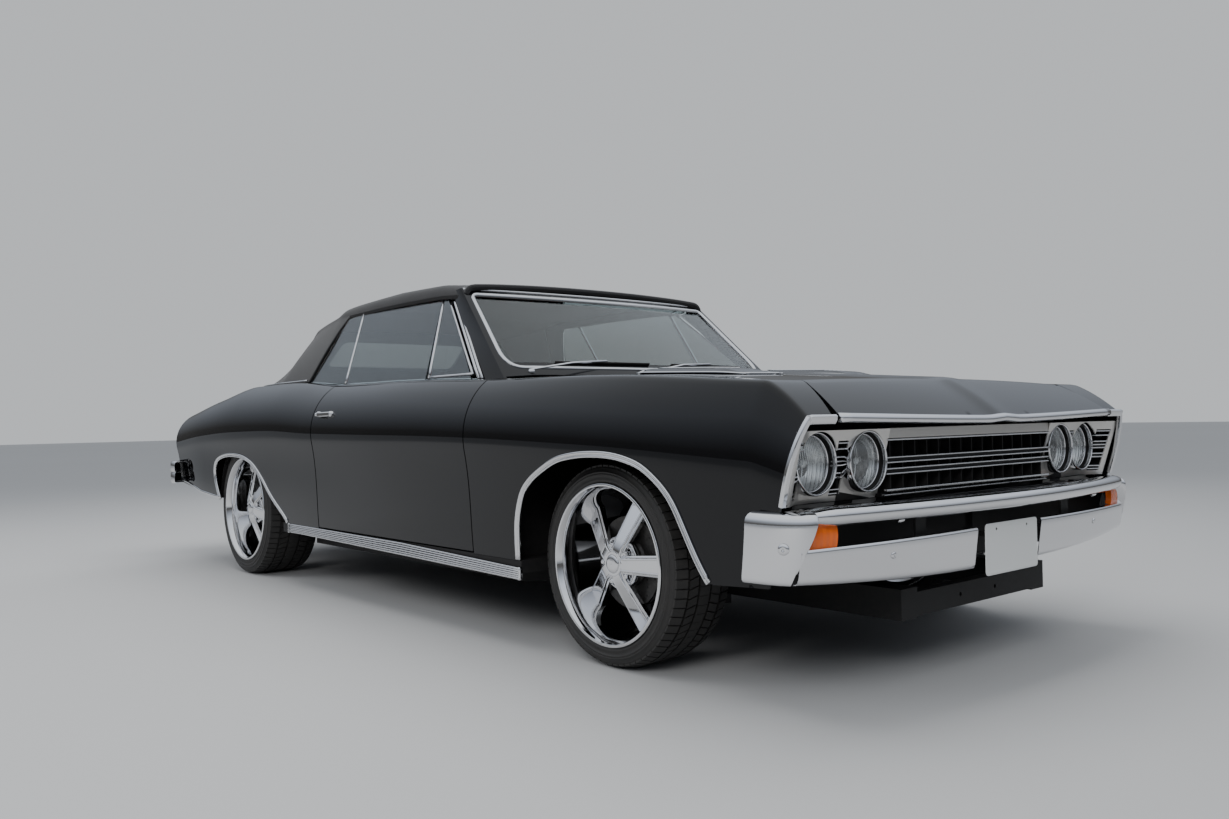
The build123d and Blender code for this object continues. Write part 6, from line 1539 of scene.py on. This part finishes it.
SILL_X, SILL_RIBS = np.linspace(1.186, -0.722, 60), 6
SILL_LOW = np.interp(-SILL_X, [-1.211, 0.587, 0.722], [0.241, 0.265, 0.264])
SILL_HIGH = np.interp(-SILL_X, [-1.189, -0.372, 0.585, 0.722], [0.282, 0.3035, 0.3065, 0.3065])
stepped = [(-0.0105, -0.006), (0.0105, -0.006), (0.0105, 0.0025), (0.0085, 0.0042), (0.0040, 0.0045),
           (0.0025, 0.0018), (0.0005, 0.0018), (-0.0010, 0.0062), (-0.0080, 0.0068), (-0.0105, 0.0045)]
for side, word in SIDES:
    strips = []
    for arch in (front_arch, rear_arch):
        path = moved_out(even_path(arch, 0.020), 0.0085)
        spots = [(x, max(0.004, side_b_at(x, max(z, 0.309)))) for x, z in path]
        section = stepped if side == 1 else [(-a, u) for a, u in stepped]
        strips.append(on_side(spots, section, side))
    add_piece(word + "_arch_mouldings", strips, chrome, "body")
    sill_spot = lambda k, t, y: (SILL_X[k], side * (y + 0.003 * math.sin(math.pi * t)),
                                 SILL_LOW[k] + (SILL_HIGH[k] - SILL_LOW[k]) * t)
    plate_rows = [[sill_spot(k, t, 0.9265) for t in np.linspace(0, 1, 5)] for k in range(len(SILL_X))]
    add_piece(word + "_sill_backing", [sheet_between(plate_rows, 0.012, (0, side, 0))], satin_black, "body")
    ribs = []
    for r in range(SILL_RIBS):
        path = [sill_spot(k, (r + 0.5) / SILL_RIBS, 0.9270) for k in range(len(SILL_X))]
        wide = 0.0034 if 0 < r < SILL_RIBS - 1 else 0.0042
        ribs.append(ribbon(path, [(-wide / 1.25, -0.001), (wide / 1.25, -0.001), (wide / 1.4, 0.0024),
                                  (0, 0.0036), (-wide / 1.4, 0.0024)], (0, side, 0)))
    for end in (0, -1):
        path = [(SILL_X[end], side * 0.9275, z)
                for z in np.linspace(SILL_LOW[end] - 0.001, SILL_HIGH[end] + 0.001, 6)]
        ribs.append(ribbon(path, [(-0.004, -0.010), (0.004, -0.010), (0.004, 0.003), (-0.004, 0.003)],
                           (0, side, 0)))
    add_piece(word + "_sill_ribs", ribs, chrome, "body",
              "rocker_mouldings" if side == 1 else None)
    # along the bottom of the rear quarter, behind the wheel
    spots = [(x, side_b_at(x, z)) for x, z in even_path([(-1.655, 0.392), (-1.727, 0.392), (-1.986, 0.409),
                                                         (-2.246, 0.446), (-2.400, 0.462)], 0.03)]
    add_piece(word + "_quarter_strip", [on_side(spots, half_round(0.014, 0.005), side)], chrome, "body")
    # belt strips stand on the inner edge of the door's top and of the quarter's
    for name, x0, x1, body in (("_door_belt", 0.735, DOOR_REAR_X + SHUT_GAP + 0.004, word + "_door"),
                               ("_quarter_belt", DOOR_REAR_X - 0.004, -0.758, "body")):
        spots = [(x, INNER_B - 0.016) for x in np.linspace(x0, x1, 24)]
        add_piece(word + name, [on_side(spots, half_round(0.011, 0.006), side)], chrome, body)
    # the handle: two feet, a bowed bar with a push button at its rear end, and a lock
    handle_y = float(side_surface(-0.256, side_b_at(-0.256, 0.819))[1])
    bar = [(-0.190 - 0.130 * t, side * (handle_y + 0.012 + 0.011 * math.sin(math.pi * t)),
            0.822 - 0.003 * t) for t in np.linspace(0, 1, 15)]
    shapes = [ribbon(bar, [(-0.0085, -0.003), (0.0085, -0.003), (0.0100, 0.001), (0.0065, 0.0050),
                           (-0.0065, 0.0050), (-0.0100, 0.001)], (0, side, 0))]
    # x, how far out, height, radius, rise and tilt of the feet, the button and the lock
    for x, out, z, r, rise, tilt in ((-0.194, -0.001, 0.821, 0.0135, 0.017, 0.1),
                                     (-0.316, -0.001, 0.821, 0.0135, 0.017, 0.1),
                                     (-0.312, 0.014, 0.821, 0.0080, 0.010, 0),
                                     (-0.300, -0.0015, 0.772, 0.0115, 0.006, 0.1)):
        shapes.append(dome((x, side * (handle_y + out), z), r, rise, (0, side, tilt)))
    add_piece(word + "_door_handle", shapes, chrome, word + "_door", bevel=(0.0006,))

# The tail: wide red plastic lamps in plated frames set in the black panel, under a bright strip. The bumper
# is one plated pressing with a groove along its middle, bowed and bent round the corners on two irons.
lenses, frames = [], []
for side in (1, -1):
    rows = [[(-2.4400 - 0.006 * (1 - ((z - 0.670) / 0.053) ** 2), side * y, z)
             for y in np.linspace(0.567, 0.833, 15)] for z in np.linspace(0.617, 0.723, 7)]
    lenses.append(sheet_between(rows, -0.020))
    outline = rounded_outline([(0.560, 0.610), (0.840, 0.610), (0.840, 0.730), (0.560, 0.730)], [0.012] * 4)
    path = [(-2.4350, side * y, z) for y, z in dense(outline, 0.02)]
    frames.append(ribbon(path, eased_strip(0.006, -0.012, 0.004, 0.002, 0.0065), (-1, 0, 0), closed=True))
    frames.append(box_mesh((-2.4475, side * 0.700 - 0.002, 0.612), (-2.4380, side * 0.700 + 0.002, 0.728)))
add_piece("tail_lenses", lenses, red_lens, "body", "signal_lamps", bevel=(0.001,))
frames.append(ribbon([(-2.4275, y, 0.744) for y in np.linspace(-0.850, 0.850, 21)],
                     half_round(0.012, 0.005), (-1, 0, 0)))
add_piece("tail_frames", frames, chrome, "body")
REAR_R = (0.912 ** 2 + 0.040 ** 2) / (2 * 0.040)
rear_bow = lambda y: REAR_R - BUMPER_FRONT_X - np.sqrt(REAR_R ** 2 - np.minimum(np.abs(y), 0.93) ** 2)
half_plan = ([(float(rear_bow(y)), y) for y in np.linspace(0, 0.912, 40)]
             + [(-2.398 - 0.060 * math.cos(a), 0.912 + 0.040 * math.sin(a))
                for a in np.linspace(0.2, math.pi / 2, 9)] + [(-2.370, 0.952), (-2.342, 0.950)])
plan = along_path([(x, -y) for x, y in reversed(half_plan)] + half_plan[1:], 150)
away = plan - np.stack([np.full(len(plan), -2.30), plan[:, 1] * 0.90], -1)
away /= np.linalg.norm(away, axis=1)[:, None]
rows = []
for z, inset in ((0.441, 0.022), (0.4415, 0.012), (0.445, 0.005), (0.452, 0.001), (0.470, 0.0),
                 (0.500, 0.0015), (0.505, 0.0060), (0.512, 0.0060), (0.517, 0.0015), (0.545, 0.0),
                 (0.560, 0.002), (0.569, 0.008), (0.5735, 0.016), (0.575, 0.030)):
    rows.append([(x, y, z) for x, y in plan - away * inset])
add_piece("rear_bumper_bright", [sheet_between(rows, -0.003)], chrome, "body", "rear_bumper",
          bevel=(0.0008, 1))
dark = []
for side in (1, -1):
    iron = [(x, side * 0.470, z) for x, z in ((-2.338, 0.345), (-2.400, 0.385), (-2.440, 0.450),
                                              (-2.470, 0.515))]
    dark.append(ribbon(iron, [(-0.025, -0.004), (0.025, -0.004), (0.025, 0.004), (-0.025, 0.004)],
                       (0.5, 0, 1)))
add_piece("rear_bumper_brackets", dark, satin_black, "body", bevel=(0.001,),
          smooth=False)

# The trunk's floor runs on to both sides as black pressed wells that follow the foot of the quarters,
# and a black mat lies on it between them.
wells = []
for side in (1, -1):
    rows = []
    for x in np.linspace(-1.780, -2.386, 16):
        foot = float(np.interp(-x, [1.727, 1.986, 2.246, 2.400], [0.396, 0.413, 0.450, 0.466]))
        outer_y = float(np.interp(-x, [1.900, 2.200, 2.350], [0.900, 0.878, 0.868]))
        rows.append([(x, side * y, z) for y, z in ((0.600, 0.3895), (0.602, foot - 0.002), (0.606, foot),
                                                   (0.740, foot), (outer_y, foot))])
    wells.append(sheet_between(rows, 0.002, (0, 0, 1)))
wells.append(box_mesh((-2.388, -0.596, 0.3895), (-1.900, 0.596, 0.3935)))
add_piece("trunk_mat", wells, satin_black, "body", smooth=False)

# The engine is a sand-cast block with its gearbox; the exhaust is bent steel pipe, a little stained.
# Both keep the solids' own shapes.
cast_iron = textured("cast_iron", {
    "Base Color": (0.055, 0.052, 0.050, 1), "Metallic": 0.4, "Roughness": 0.55,
}, relief=("Noise", {"Scale": 160.0, "Detail": 4.0}, 0.3, 0.0008))
pipe_steel = textured("pipe_steel", {"Metallic": 0.8, "Roughness": 0.42},
                      colour=("Noise", {"Scale": 18.0, "Detail": 7.0}, (0.16, 0.155, 0.15, 1),
                              (0.33, 0.32, 0.30, 1)))
recoat(["engine"], cast_iron)
recoat(["exhaust"], pipe_steel)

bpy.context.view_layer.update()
